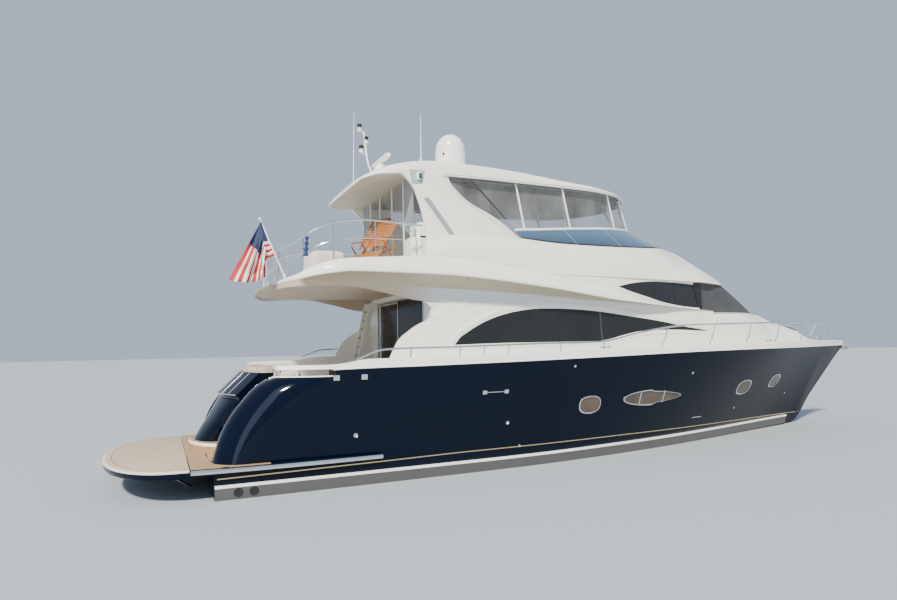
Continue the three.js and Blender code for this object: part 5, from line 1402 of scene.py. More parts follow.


# Flybridge coaming: a tall white moulding round the open flybridge that runs forward as the brow over the
# windshield, with a rounded shoulder.
COAMING = [
    # x, base half, base z, top half, top z, floor z, under z
    (-4.90, 2.36, 4.690, 2.23, 4.96, 4.45, 4.41),
    (-4.50, 2.335, 4.700, 2.20, 5.06, 4.45, 4.41),
    (-3.70, 2.315, 4.670, 2.14, 5.21, 4.45, 4.41),
    (-2.50, 2.285, 4.520, 2.065, 5.25, 4.45, 4.41),
    (-1.75, 2.26, 4.410, 2.03, 5.21, 4.45, 4.41),
    (-1.10, 2.235, 4.410, 2.00, 5.19, 4.45, 4.41),
    (0.50, 2.13, 4.410, 1.84, 5.22, 4.45, 4.41),
    (1.60, 2.00, 4.410, 1.54, 5.29, 4.45, 4.41),
    (2.50, 1.88, 4.410, 1.15, 5.38, 4.45, 4.41),
    (2.70, 1.85, 4.410, 1.04, 5.40, 5.36, 4.41),
    (3.40, 1.74, 4.410, 0.56, 5.45, 5.40, 4.41),
    (3.90, 1.62, 4.410, 0.30, 5.44, 5.39, 4.41),
    (4.60, 1.29, 4.415, 0.26, 5.13, 5.08, 4.415),
    (5.30, 0.85, 4.430, 0.20, 4.79, 4.75, 4.43),
    (5.85, 0.33, 4.460, 0.12, 4.56, 4.545, 4.46),
]
base_half, base_z, top_half, top_z, floor_z, under_z = columns(COAMING)
WELL_FORE_X = 2.6


def coaming_ring(x):
    bh, bz, th, tz, uz = base_half(x), base_z(x), top_half(x), top_z(x), under_z(x)
    floor = FLY_SOLE if x < WELL_FORE_X else min(floor_z(x), tz - 0.015)
    inner = max(th - 0.11, th * 0.4)
    nose = min(0.05, (tz - bz) * 0.25, th * 0.3)
    row = [(0, uz), (bh - 0.12, uz), (bh - 0.11, bz + 0.0005), (bh, bz + 0.0005)]
    span_z = tz - bz
    steep = 1 - smoothstep(x, 2.4, 5.0)
    for k in range(1, 9):
        t = k / 9
        bulge = math.sin(math.pi * t) * (0.055 + 0.06 * (1 - steep)) * min(1, span_z / 0.5)
        row.append((bh + (th - bh) * t + bulge * 0.8,
                    bz + (span_z - nose * 0.4) * t + bulge * 0.35 * (1 - steep)))
    row += [(th + 0.004, tz - nose * 0.35), (th - nose * 0.35, tz - nose * 0.06), (th - nose, tz),
            (inner + 0.02, tz), (inner, tz - 0.012), (inner - 0.01, floor), (0, floor)]
    return [(x, y, z) for y, z in row]


stations = sorted({*steps_from(-4.9, WELL_FORE_X, 0.14), WELL_FORE_X + 0.002,
                   *steps_from(WELL_FORE_X + 0.05, 5.85, 0.1)})
rows = [coaming_ring(x) for x in stations]
coaming_body = Skin().sheet(rows).cap(rows[0]).cap(rows[-1]).mirror().object("coaming_moulding", white)
carve(coaming_body, brick((-5.4, 1.33, 4.2), (-5.15, 2.06, 4.62)))
fit(coaming_body, "gelcoat", "fly_coaming", sharp=45)


# Windscreen: curved blue-tinted panels that stand on the coaming between slim white mullions, under a
# white grab bar.
SCREEN_FOOT = [(-2.35, -2.03, 5.254), (-1.1, -1.975, 5.20), (0.5, -1.81, 5.23), (1.6, -1.5, 5.30),
               (2.5, -1.1, 5.392), (3.15, -0.62, 5.44), (3.42, 0, 5.46)]
SCREEN_TOP = [(-2.5, -1.95, 5.44), (-0.9, -1.9, 5.57), (0.4, -1.7, 5.68), (1.15, -1.35, 5.75),
              (1.75, -0.9, 5.80), (2.12, -0.45, 5.84), (2.25, 0, 5.85)]
HARD_FRONT = [(-4.0, -1.85, 6.56), (-1.1, -1.86, 6.57), (0.3, -1.7, 6.575), (0.9, -1.4, 6.575),
              (1.35, -0.95, 6.575), (1.56, -0.48, 6.575), (1.62, 0, 6.575)]


def whole_line(half):
    return half + [(x, -y, z) for x, y, z in reversed(half[:-1])]


def curve_through(points):
    """A smooth reading of a line of points, from 0 at its first to 1 at its last."""
    lengths = [0.0]
    for p, q in zip(points, points[1:]):
        lengths.append(lengths[-1] + math.dist(p, q))
    shares = [length / lengths[-1] for length in lengths]
    axes = [through(shares, [p[k] for p in points]) for k in range(3)]
    return lambda t: Vector([axis(t) for axis in axes])


screen_foot, screen_top, hard_front = (curve_through(whole_line(line))
                                       for line in (SCREEN_FOOT, SCREEN_TOP, HARD_FRONT))


blue = Finish("blue_glass", (0.03, 0.10, 0.22), 0.05, Specular_IOR_Level=0.8)
x, y, z = blue.axes()
# The tint lightens towards the top of the panes: a painted reflection of the sky.
painted_reflection = blue.span(z + blue.noise(1.2, 2) * 0.08, 5.25, 5.75)
blue.set(Base_Color=blue.blend(painted_reflection, (0.045, 0.085, 0.15), (0.12, 0.20, 0.31)))
blue = blue.material
PANE_THICK = 0.012
rows = []
for t in evenly(0, 1, 90):
    foot, head = screen_foot(t), screen_top(t)
    before, after = screen_foot(max(0, t - 0.01)), screen_foot(min(1, t + 0.01))
    out = (after - before).cross(head - foot).normalized()
    outwards = out.y * (1 if t > 0.5 else -1) if abs(out.y) > abs(out.x) else out.x
    if outwards < 0:
        out = -out
    line = [foot + (head - foot) * share for share in evenly(0.012, 0.97, 4)]
    rows.append(line + [point - out * PANE_THICK for point in reversed(line)])
fit(Skin().solid(rows).object("windscreen_panes", blue), "blue_glass", "fly_windscreen", sharp=50)


def tube(skin, line, radius, sides=10, mark=0):
    """A round tube along a line of points, with flat ends."""
    points = [Vector(p) for p in line]
    rings = []
    side = None
    for i, p in enumerate(points):
        along = (points[min(i + 1, len(points) - 1)] - points[max(i - 1, 0)]).normalized()
        if side is None:
            side = along.orthogonal().normalized()
        side = (side - along * side.dot(along)).normalized()
        other = along.cross(side)
        rings.append([tuple(p + side * (radius * math.cos(a)) + other * (radius * math.sin(a)))
                      for a in turns(sides)])
    skin.solid(rings, mark=mark)
    return skin


bar = Skin()
tube(bar, [screen_top(t) + Vector((0, 0, 0.008)) for t in evenly(0, 1, 90)], 0.034, 12)
tube(bar, [screen_foot(t) + Vector((0, 0, 0.006)) for t in evenly(0, 1, 90)], 0.014, 8, mark=1)
for t in (0.125, 0.245, 0.36, 0.5, 0.64, 0.755, 0.875):
    low, high = screen_foot(t), screen_top(t)
    tube(bar, [low.lerp(high, share) for share in evenly(0, 1, 6)], 0.009, 8, mark=2)
fit(bar.object("windscreen_bar", trim_white, black, steel), "gelcoat")


# Enclosure: white tubes carry the hardtop's front edge over the windscreen, and clear vinyl panels with
# grey hems are zipped between them.
STRUTS = [(0.12, 0.024), (0.219, 0.144), (0.335, 0.292), (0.40, 0.379), (0.5, 0.5)]
poles = Skin()
for top_t, foot_t in STRUTS + [(1 - a, 1 - b) for a, b in STRUTS[:-1]]:
    high, low = hard_front(top_t), screen_top(foot_t)
    tube(poles, [low.lerp(high, share) for share in evenly(0, 1, 8)], 0.023, 10)
fit(poles.object("enclosure_poles", trim_white), "gelcoat", "enclosure_frame")
clear = Finish("clear_panel", (0.62, 0.66, 0.68), 0.12, Alpha=0.5)
ripple = clear.noise(1.7, 3, stretch=(1, 1, 0.4))
clear.set(Alpha=clear.span(ripple, 0.35, 0.65, 0.07, 0.20))
clear.set(Base_Color=clear.blend(ripple, (0.22, 0.23, 0.24), (0.50, 0.52, 0.53)))
clear.bump(ripple * 1.0, 0.03, 0.5)
clear_vinyl = clear.material
hem = mottled("panel_hem", (0.30, 0.31, 0.32), 0.7, 9, 3, (0.24, 0.25, 0.26), (0.36, 0.37, 0.38))
ends = [0.03] + [a for a, b in STRUTS] + [1 - a for a, b in STRUTS[-2::-1]] + [0.97]
foots = [0.004] + [b for a, b in STRUTS] + [1 - b for a, b in STRUTS[-2::-1]] + [0.996]
ENCLOSURE_MIDDLE, PANEL_INSET, PANEL_THICK = -1.0, 0.055, 0.004
vinyl, hems = Skin(), Skin()


def outward(p):
    """Level, and away from the enclosure's middle."""
    return Vector((p.x - ENCLOSURE_MIDDLE, p.y, 0)).normalized()


for i in range(len(ends) - 1):
    grid_high = lambda t, i=i: hard_front(ends[i] + (ends[i + 1] - ends[i]) * t)
    grid_low = lambda t, i=i: screen_top(foots[i] + (foots[i + 1] - foots[i]) * t)
    rows, border = [], []
    for k in range(13):
        t = 0.02 + 0.96 * k / 12
        low, high = (p - outward(p) * PANEL_INSET for p in (grid_low(t), grid_high(t)))
        line = [low.lerp(high, 0.02 + 0.955 * j / 8) for j in range(9)]
        slack = 0.02 * math.sin(math.pi * k / 12)
        line = [p + outward(p) * slack * math.sin(math.pi * j / 8) for j, p in enumerate(line)]
        inward = [p - outward(p) * PANEL_THICK for p in reversed(line)]
        rows.append([tuple(p) for p in line + inward])
        border.append((line[0], line[-1]))
    vinyl.solid(rows)
    edges = [[b[0] for b in border], [b[1] for b in border]]
    if i > 0:
        edges.append([Vector(p) for p in rows[0][:9]])
    if i < len(ends) - 2:
        edges.append([Vector(p) for p in rows[-1][:9]])
    for edge_line in edges:
        tube(hems, edge_line, 0.011, 6)
fit(vinyl.object("enclosure_vinyl", clear_vinyl), "clear_panel", "enclosure_panels", sharp=60)
fit(hems.object("enclosure_hems", hem), "clear_panel")


# Hardtop: a crowned white moulding with a gutter rail round its edge, carried aft on two swept arch legs
# with a pair of grooves along their forward edge, and a raised sunroof.
HARDTOP = [
    # x, half width, edge z, top z, crown z
    (-6.05, 1.50, 6.44, 6.49, 6.54),
    (-5.85, 1.90, 6.45, 6.56, 6.66),
    (-5.30, 2.00, 6.50, 6.74, 6.85),
    (-4.70, 2.00, 6.54, 6.85, 6.96),
    (-3.80, 1.98, 6.57, 6.88, 7.01),
    (-2.40, 1.96, 6.58, 6.84, 7.01),
    (-1.10, 1.93, 6.58, 6.75, 6.95),
    (0.20, 1.80, 6.58, 6.69, 6.86),
    (1.00, 1.45, 6.58, 6.66, 6.78),
    (1.50, 0.90, 6.58, 6.65, 6.72),
    (1.75, 0.35, 6.58, 6.64, 6.67),
]
roof_half, roof_edge, roof_top, roof_crown = columns(HARDTOP)


def roof_ring(x):
    half, low, top, crown = roof_half(x), roof_edge(x), roof_top(x), roof_crown(x)
    tall = top - low
    lip = min(0.028, tall * 0.3)
    row = [(0, low + 0.012), (half * 0.55, low + 0.012), (half - min(0.14, half * 0.3), low + 0.006),
           (half - min(0.10, half * 0.2), low), (half - 0.02, low), (half - 0.002, low + lip * 0.5),
           (half, low + lip), (half - 0.012, low + lip * 1.5), (half - 0.022, low + lip * 1.6)]
    for k in range(1, 6):
        t = k / 6
        row.append((half - 0.022 - 0.035 * t * t - 0.01 * t, low + lip * 1.6 + (tall - lip * 1.6 - 0.02) * t))
    for y, z in ((0.07, -0.008), (0.12, 0.012)):
        row.append((half - min(y, half * 0.3), top + z))
    for k in range(1, 7):
        y = (half - min(0.16, half * 0.4)) * (1 - k / 6)
        rise = (crown - top - 0.02) * (1 - (y / max(0.01, half - 0.1)) ** 2)
        row.append((y, top + 0.02 + rise))
    row[-1] = (0, crown)
    return [(x, y, z) for y, z in row]


rows = [roof_ring(x) for x in sorted({*steps_from(-6.05, -5.7, 0.05), *steps_from(-5.7, 0.9, 0.15),
                                      *steps_from(0.9, 1.75, 0.06)})]
roof = Skin().sheet(rows, mark=lambda i, j: 1 if j <= 2 else 0).cap(rows[0]).cap(rows[-1]).mirror()
AFT_EDGE = [(4.97, -4.775), (5.3, -4.80), (5.66, -4.87), (6.0, -4.97), (6.27, -5.09), (6.45, -5.25),
            (6.6, -5.42)]
FORE_EDGE = [(4.97, -2.0), (5.29, -2.50), (5.50, -2.78), (5.74, -3.17), (5.97, -3.68), (6.20, -3.98),
             (6.40, -4.16), (6.6, -4.22)]
leg_aft, leg_fore = through(*zip(*AFT_EDGE)), through(*zip(*FORE_EDGE))


def leg_out(z):
    return 2.10 - (z - 5.0) * 0.0667


LEG_FOOT, LEG_HEAD, LEG_THICK = 4.99, 6.59, 0.10
legs = Skin()
for side in (-1, 1):
    rows = []
    for z in evenly(LEG_FOOT, LEG_HEAD, 24):
        aft, fore, outer = leg_aft(z), leg_fore(z), leg_out(z)
        inner = outer - LEG_THICK
        ring = []
        wide = fore - aft
        for share, y in ((0.0, inner + 0.03), (0.006, outer - 0.02), (0.02, outer - 0.003),
                         (0.1, outer + 0.004), (0.35, outer + 0.008), (0.6, outer + 0.007),
                         (0.868, outer + 0.004), (0.873, outer - 0.022), (0.888, outer - 0.022),
                         (0.893, outer + 0.003), (0.925, outer + 0.003), (0.930, outer - 0.022),
                         (0.943, outer - 0.022), (0.948, outer + 0.002), (0.98, outer - 0.003),
                         (0.995, outer - 0.02), (1.0, inner + 0.03), (0.99, inner), (0.5, inner),
                         (0.01, inner)):
            ring.append((aft + wide * share, side * y, z))
        rows.append(ring)
    legs.solid(rows)
# The hardtop's underside: beige lining aft of the arch legs, turning forward of them to a dark grey-beige
# that is painted shade for the ceiling inside the enclosure, mottled by streaky noise.
shaded_headlining = Finish("shaded_headlining", (0.4, 0.38, 0.33), 0.5)
x, y, z = shaded_headlining.axes()
shade_streaks = shaded_headlining.noise(1.6, 4, stretch=(0.5, 1.4, 1))
shade = shaded_headlining.blend(shade_streaks, (0.20, 0.185, 0.165), (0.33, 0.31, 0.28))
shaded_headlining.set(Base_Color=shaded_headlining.blend(shaded_headlining.span(x, -5.3, -4.4, smooth=True), (0.62, 0.57, 0.46),
                                           shade))
roof_piece = roof.object("hardtop_moulding", white, shaded_headlining.material)
fit(roof_piece, "gelcoat", "hardtop", sharp=40)
fit(legs.object("arch_legs", white), "gelcoat", sharp=30)
gutter = Skin()
rail_line = []
for x in steps_from(-4.35, 1.74, 0.1):
    rail_line.append((x, roof_half(x) + 0.012, roof_edge(x) - 0.012))
# The thin grey tube just above the gutter rail is a painted shadow line under the roof's lip.
shadow_line = [(x, y - 0.006, z + 0.030) for x, y, z in rail_line]
for line, radius, mark in ((rail_line, 0.021, 0), (shadow_line, 0.008, 1)):
    tube(gutter, [(x, -y, z) for x, y, z in line] + [(x, y, z) for x, y, z in reversed(line)], radius, 8,
         mark=mark)
fit(gutter.object("gutter_rail", trim_white, hem), "gelcoat")
quarters = Skin()
for side in (-1, 1):
    t_high, t_low = (0.03, 0.004) if side < 0 else (0.97, 0.996)
    high, low = hard_front(t_high), screen_top(t_low)
    rows = []
    for z in evenly(5.34, 6.56, 12):
        share = min(1, max(0, (z - low.z) / (high.z - low.z)))
        rim_x, rim_y = low.lerp(high, share).x, low.lerp(high, share).y - side * 0.055
        rows.append([(leg_fore(z) - 0.02, side * (leg_out(z) - 0.07), z), (rim_x, rim_y, z),
                     (rim_x, rim_y - side * 0.004, z), (leg_fore(z) - 0.02, side * (leg_out(z) - 0.074), z)])
    quarters.solid(rows)
fit(quarters.object("enclosure_quarters", clear_vinyl), "clear_panel", sharp=60)
# A grey band laid diagonally on each arch leg is painted shade for a recess in the leg.
leg_shadow_bands = Skin()
for side in (-1, 1):
    rows = []
    for t in evenly(0, 1, 8):
        x, z = -4.84 + 0.58 * t, 6.00 - 0.78 * t
        rows.append([(x + across, side * (leg_out(z) + out), z + 0.1 * across)
                     for across, out in ((0, 0.005), (0, 0.013), (0.13, 0.013), (0.13, 0.005))])
    leg_shadow_bands.solid(rows)
fit(leg_shadow_bands.object("leg_recess_shadows", hem), "gelcoat")

ROOF_X, ROOF_HALF = -1.85, 0.68
frame_skin, lid_skin = Skin(), Skin()
for skin, steps in ((frame_skin, ((0.09, 6.86), (0.085, 6.96), (0.05, 7.0), (0.03, 7.0114))),
                    (lid_skin, ((-0.01, 7.0125), (0, 7.018), (0, 7.045), (-0.02, 7.058), (-0.05, 7.060)))):
    skin.solid([[(ROOF_X + u, v, z) for u, v in oval(0.83 + grow, ROOF_HALF + grow, square=7, count=56)]
                for grow, z in steps])
fit(frame_skin.object("sunroof_frame", white), "gelcoat")
fit(lid_skin.object("sunroof_lid", trim_white), "gelcoat", "sunroof_panel", body="sunroof_panel")


# On the hardtop: a satellite dome, an open radar array on a raked pedestal, a bent mast with three hooded
# lamps, whip aerials with white feet, twin horns, and sidelights in boxes on the arch legs.
def turned(skin, profile, centre, mark=0, count=48):
    """A shape turned about an upright axis through the centre."""
    cx, cy = centre
    return skin.solid([[(cx + r * math.cos(a), cy + r * math.sin(a), z) for a in turns(count)]
                       for r, z in profile], mark=mark)


DOME_X, DOME_FOOT, DOME_R = -3.23, 6.9, 0.40
profile = [(0.30, DOME_FOOT), (0.305, 7.19), (0.31, 7.2), (0.385, 7.235), (DOME_R - 0.004, 7.26),
           (DOME_R, 7.275), (DOME_R, 7.32), (DOME_R - 0.006, 7.325), (DOME_R - 0.006, 7.332),
           (DOME_R - 0.002, 7.337)]
profile += [(DOME_R - 0.002 - 0.018 * k / 5, 7.337 + 0.42 * k / 5) for k in range(1, 6)]
profile += [(0.38 * math.cos(math.pi / 2 * k / 14), 7.757 + 0.423 * math.sin(math.pi / 2 * k / 14))
            for k in range(1, 14)] + [(0.004, 8.18)]
fit(turned(Skin(), profile, (DOME_X, 0)).object("dome_shell", trim_white), "gelcoat", "satellite_dome")
mark_skin = Skin()
rings = [[(DOME_X - 0.31 - out * 0.75 + r * 0.66 * math.cos(a), -0.255 - out * 0.66 - r * 0.75 * math.cos(a),
           7.60 + r * 1.3 * math.sin(a)) for a in turns(16)]
         for r, out in ((0.025, -0.03), (0.025, 0.002), (0.018, 0.006))]
mark_skin.solid(rings)
fit(mark_skin.object("dome_vent", black), "gelcoat")

RADAR_X, RADAR_Y, RADAR_TOP = -5.02, 0.25, 7.28
pedestal = Skin()
rings = []
for z, aft, fore, half in ((6.78, -0.42, 0.30, 0.24), (6.92, -0.36, 0.24, 0.20), (7.02, -0.28, 0.19, 0.17),
                           (7.12, -0.19, 0.16, 0.15), (7.20, -0.16, 0.15, 0.14), (7.26, -0.14, 0.14, 0.13),
                           (7.279, -0.12, 0.12, 0.11)):
    middle_x = RADAR_X + (aft + fore) / 2
    rings.append([(middle_x + u, RADAR_Y + v, z)
                  for u, v in oval((fore - aft) / 2, half, square=3, count=32)])
fit(pedestal.solid(rings).object("radar_pedestal", white), "gelcoat")
array = Skin()
turned(array, [(0.07, RADAR_TOP + 0.001), (0.07, RADAR_TOP + 0.03), (0.06, RADAR_TOP + 0.035),
               (0.06, RADAR_TOP + 0.07)], (RADAR_X, RADAR_Y), count=24)
rows = []
for i in range(-20, 21):
    y = 0.6 * math.sin(math.pi / 2 * i / 20)
    narrow = 1 - abs(y / 0.6) ** 10 * 0.35
    rows.append([(RADAR_X + u * narrow, RADAR_Y + y, RADAR_TOP + 0.115 + v * narrow)
                 for u, v in oval(0.07, 0.054, square=3.2, count=20)])
array.solid(rows)
fit(array.object("radar_bar", trim_white), "gelcoat", "radar_array", body="radar_array")

MAST_X, MAST_Y, MAST_TOP = -5.25, 0.9, 8.30
mast = Skin()
pole = [(-5.02, MAST_Y, 6.84), (-5.04, MAST_Y, 7.10), (-5.075, MAST_Y, 7.32), (-5.14, MAST_Y, 7.46),
        (-5.17, MAST_Y, 7.62), (-5.20, MAST_Y, 7.85), (-5.225, MAST_Y, 8.1), (MAST_X, MAST_Y, MAST_TOP)]
tube(mast, pole, 0.026, 12, mark=0)
turned(mast, [(0.06, 6.80), (0.06, 6.86), (0.035, 6.88), (0.03, 6.92)], (-5.02, MAST_Y), mark=0, count=20)
for dx, z in ((-0.11, 8.42), (0.06, 8.12), (-0.07, 7.88)):
    x = MAST_X + dx
    turned(mast, [(0.03, z - 0.125), (0.062, z - 0.12), (0.066, z - 0.112), (0.066, z - 0.092),
                  (0.055, z - 0.088)], (x, MAST_Y), mark=0, count=20)
    turned(mast, [(0.052, z - 0.09), (0.052, z - 0.03)], (x, MAST_Y), mark=2, count=20)
    turned(mast, [(0.055, z - 0.032), (0.058, z - 0.026), (0.058, z + 0.05), (0.045, z + 0.058)], (x, MAST_Y),
           mark=1, count=20)
    tube(mast, [(x, MAST_Y, z - 0.115), ((x + MAST_X) / 2, MAST_Y, z - 0.14),
                (MAST_X + (0.06 if z < 8 else 0.015), MAST_Y, z - 0.16)], 0.014, 8, mark=0)
lamp_glass = mottled("lamp_glass", (0.62, 0.66, 0.66), 0.1, 30, 2, (0.50, 0.54, 0.55), (0.75, 0.78, 0.78))
fit(mast.object("mast_and_lamps", trim_white, black, lamp_glass), "gelcoat", "light_mast")


def whip(name, x, y, foot, top, lean, *replaced):
    skin = Skin()
    rings = []
    for z in [foot - 0.04, foot + 0.20, *evenly(foot + 0.21, top, 8)]:
        share = max(0.0, (z - foot) / (top - foot))
        r = 0.024 if z <= foot + 0.2 else 0.013 - 0.007 * share
        rings.append([(x + lean * share + r * math.cos(a), y + r * math.sin(a), z) for a in turns(12)])
    skin.solid(rings)
    turned(skin, [(0.045, foot - 0.05), (0.045, foot + 0.015), (0.03, foot + 0.03)], (x, y), count=16)
    return fit(skin.object(name, trim_white), "gelcoat", *replaced)


whip("whip_aerial_port", -5.38, 1.5, 6.66, 8.975, 0.06, "whip_port")
whip("whip_aerial_stb", -4.54, -1.2, 6.93, 8.13, 0.01)

horns = Skin()
for y in (-0.10, -0.19):
    rings = []
    for x, r in ((-4.62, 0.03), (-4.52, 0.026), (-4.42, 0.018), (-4.32, 0.02), (-4.22, 0.03), (-4.18, 0.045),
                 (-4.172, 0.048), (-4.178, 0.04), (-4.21, 0.024), (-4.26, 0.012)):
        rings.append([(x, y + r * math.cos(a), 7.10 + r * math.sin(a)) for a in turns(20)])
    horns.solid(rings)
    tube(horns, [(-4.5, y, 6.90), (-4.5, y, 7.09)], 0.012, 8)
fit(horns.object("horns", steel), "steel")
boxes = Skin()
for side, tint in ((-1, 2), (1, 3)):
    y_of = lambda z, out: side * (leg_out(z) + out)
    rows = []
    for t in evenly(0, 1, 6):
        z = 6.30 + 0.30 * t
        aft, fore = -5.10 - 0.05 * t, -4.86 + 0.10 * t
        rows.append([(aft, y_of(z, 0.004), z), (aft + 0.01, y_of(z, 0.012), z),
                     (fore - 0.01, y_of(z, 0.012), z), (fore, y_of(z, 0.004), z)])
    # The box bodies are grey: painted shade for the recesses the lamps sit in.
    boxes.solid(rows, mark=1)
    rings = [[(-4.93 + u, y_of(6.46, out), 6.46 + v)
              for u, v in oval(0.062 - k, 0.085 - k, square=4, count=24)]
             for k, out in ((0, 0.0), (0, 0.058), (0.008, 0.066))]
    boxes.solid(rings, mark=0)
    rings = [[(-4.915 + u, y_of(6.46, out), 6.46 + v)
              for u, v in oval(0.034 - k, 0.066 - k, square=3, count=24)]
             for k, out in ((0, 0.05), (0, 0.078), (0.012, 0.088))]
    boxes.solid(rings, mark=tint)
red_lens = mottled("red_lens", (0.35, 0.012, 0.01), 0.1, 20, 2, (0.28, 0.01, 0.008), (0.42, 0.02, 0.015))
green_lens = mottled("green_lens", (0.01, 0.10, 0.05), 0.1, 20, 2, (0.006, 0.05, 0.03), (0.012, 0.13, 0.07))
shade_grey = gelcoat("recess_shade_grey", (0.42, 0.43, 0.43), 0.4)
fit(boxes.object("sidelights", trim_white, shade_grey, green_lens, red_lens), "gelcoat")


# Flybridge furniture: a moulded helm console with a padded dash and wheel, two helm chairs, a wet bar, a
# locker under a fitted cream cover, and the panels and poles that close the hardtop's after side.
console = Skin()
profile = [(0.9, FLY_SOLE), (0.93, 4.98), (1.0, 5.10), (1.02, 5.15), (1.45, 5.38), (1.52, 5.415),
           (1.62, 5.42), (2.05, 5.26), (2.1, 5.24), (2.1, FLY_SOLE)]
rows = []
for y in (-0.9, -0.885, -0.86, 0.86, 0.885, 0.9):
    inset = 0.02 if abs(y) > 0.89 else (0.006 if abs(y) > 0.87 else 0.0)
    rows.append([(x + (inset if x < 1.5 else -inset), y, z - (inset if z > 4.6 else -0.0005))
                 for x, z in profile])
fit(console.solid(rows).object("console_moulding", white), "gelcoat", "helm_console", sharp=30)
dash = Skin()
on_dash = lambda u, v, out: (1.02 + 0.43 * u - out * 0.47, v, 5.155 + 0.23 * u + out * 0.88)
for v0, v1 in ((-0.78, -0.30), (-0.24, 0.24), (0.30, 0.78)):
    dash.solid([[on_dash(u, v, out) for u, v in ((u0, v0 + k), (u0, v1 - k), (u1, v1 - k), (u1, v0 + k))]
                for u0, u1, k, out in ((0.12, 0.92, 0, 0), (0.12, 0.92, 0, 0.014),
                                       (0.16, 0.88, 0.02, 0.016))])
fit(dash.object("helm_screens", glass), "dark_glass")
wheel = Skin()
hub = Vector((0.86, -0.5, 5.08))
tilt = Vector((-0.9, 0, 0.43)).normalized()
flat_a, flat_b = Vector((0, 1, 0)), tilt.cross(Vector((0, 1, 0))).normalized()
circle = [hub + (flat_a * math.cos(a) + flat_b * math.sin(a)) * 0.20 for a in evenly(0, math.tau, 32)]
tube(wheel, circle, 0.014, 8, mark=1)
for a in (math.pi / 2, math.pi * 7 / 6, math.pi * 11 / 6):
    tube(wheel, [hub, hub + (flat_a * math.cos(a) + flat_b * math.sin(a)) * 0.195], 0.009, 8, mark=0)
tube(wheel, [hub + tilt * 0.02, hub - tilt * 0.12], 0.035, 14, mark=0)
fit(wheel.object("helm_wheel", steel, black), "steel")
bases = Skin()
for y in (-0.5, 0.5):
    turned(bases, [(0.17, FLY_SOLE + 0.001), (0.17, FLY_SOLE + 0.02), (0.06, FLY_SOLE + 0.05),
                   (0.045, FLY_SOLE + 0.30), (0.13, FLY_SOLE + 0.305)], (0, y), count=28)
fit(bases.object("helm_seat_posts", steel), "steel", "helm_seats")
for y, name in ((-0.5, "stb"), (0.5, "port")):
    cushion("helm_seat_%s" % name, (-0.28, y - 0.28, 4.76), (0.33, y + 0.28, 4.98), crown=0.03, radius=0.07)
    cushion("helm_back_%s" % name, (-0.36, y - 0.28, 4.97), (-0.22, y + 0.28, 5.64), crown=0.025,
            radius=0.055)
UNIT = ((FLY_SOLE + 0.001, 0.02), (FLY_SOLE + 0.08, 0.02), (FLY_SOLE + 0.085, 0), (5.28, 0), (5.285, 0),
        (5.33, 0), (5.35, 0.02))
bar_unit = Skin().solid([[(-4.05 + u, -1.65 + v, z) for u, v in oval(0.55 - k, 0.30 - k, square=9, count=40)]
                         for z, k in UNIT])
fit(bar_unit.object("bar_unit", white), "gelcoat", "wet_bar", sharp=30)
tower = Skin()
tower_ring = lambda z, k, x0, x1: [((x0 + x1) / 2 + u, -1.62 + v, z)
                                   for u, v in oval((x1 - x0) / 2 - k, 0.26 - k, square=7, count=36)]
tower.solid([tower_ring(4.452, 0.0, -4.93, -4.62), tower_ring(5.30, 0.0, -4.93, -4.62),
             tower_ring(5.46, 0.0, -4.92, -4.60), tower_ring(5.50, 0.02, -4.90, -4.62)])
tower.solid([tower_ring(4.452, 0.0, -5.08, -4.94), tower_ring(5.12, 0.0, -5.08, -4.94),
             tower_ring(5.16, 0.015, -5.08, -4.94)])
fit(tower.object("aft_console", white), "gelcoat", sharp=30)
# A thin black plate on the aft console's side is painted shade for a slot's dark opening.
slot = Skin().solid([[(x, y, z) for x, z in ((-4.86, 5.16), (-4.86, 5.20), (-4.70, 5.20), (-4.70, 5.16))]
                     for y in (-1.886, -1.875)])
fit(slot.object("console_slot_shadow", black), "gelcoat")
cushion("locker_cover", (-6.96, -0.58, 4.405), (-6.18, 0.58, 4.975), crown=0.03, radius=0.11,
        replaced=("covered_locker",))

after_poles = Skin()
POLE_Y = (-1.86, -1.22, -0.45, 0.45, 1.22, 1.86)
CURTAIN_X, CURTAIN_TOP = -5.0, 6.54
for y in POLE_Y[1:-1]:
    tube(after_poles, [(CURTAIN_X, y, z) for z in (4.41, 5.0, 5.6, 6.2, 6.53)], 0.016, 8)
fit(after_poles.object("after_poles", trim_white), "gelcoat")
curtains, dark_curtains = Skin(), Skin()
for i, (y0, y1) in enumerate(zip(POLE_Y, POLE_Y[1:])):
    low, skin = (5.62, dark_curtains) if i in (0, 4) else (5.40, curtains)
    rows = []
    for k in range(9):
        y = y0 + 0.025 + (y1 - y0 - 0.05) * k / 8
        slack = 0.015 * math.sin(math.pi * k / 8)
        face = [(CURTAIN_X + slack * math.sin(math.pi * t / 6), low + (CURTAIN_TOP - low) * t / 6)
                for t in range(7)]
        rows.append([(x, y, z) for x, z in face] + [(x + 0.004, y, z) for x, z in reversed(face)])
    skin.solid(rows)
fit(curtains.object("after_panels", clear_vinyl), "clear_panel", sharp=60)
fit(dark_curtains.object("after_screens", hem), "clear_panel", sharp=60)
rolls = Skin()
ROLL_X = -5.02
for y in (-1.95, 1.95):
    rings = []
    for k in range(25):
        z = 4.78 + 0.62 * k / 24
        r = 0.055 + 0.012 * math.sin(k * 1.9) + 0.006 * math.sin(k * 4.1)
        rings.append([(ROLL_X + r * math.cos(a) * (1 + 0.12 * math.sin(3 * a + k)),
                       y * 0.93 + r * 0.9 * math.sin(a), z) for a in turns(18)])
    rolls.solid(rings)
rolled = Finish("rolled_vinyl", (0.70, 0.70, 0.70), 0.2)
x, y, z = rolled.axes()
crease = rolled.noise(18, 4, stretch=(1, 1, 0.25))
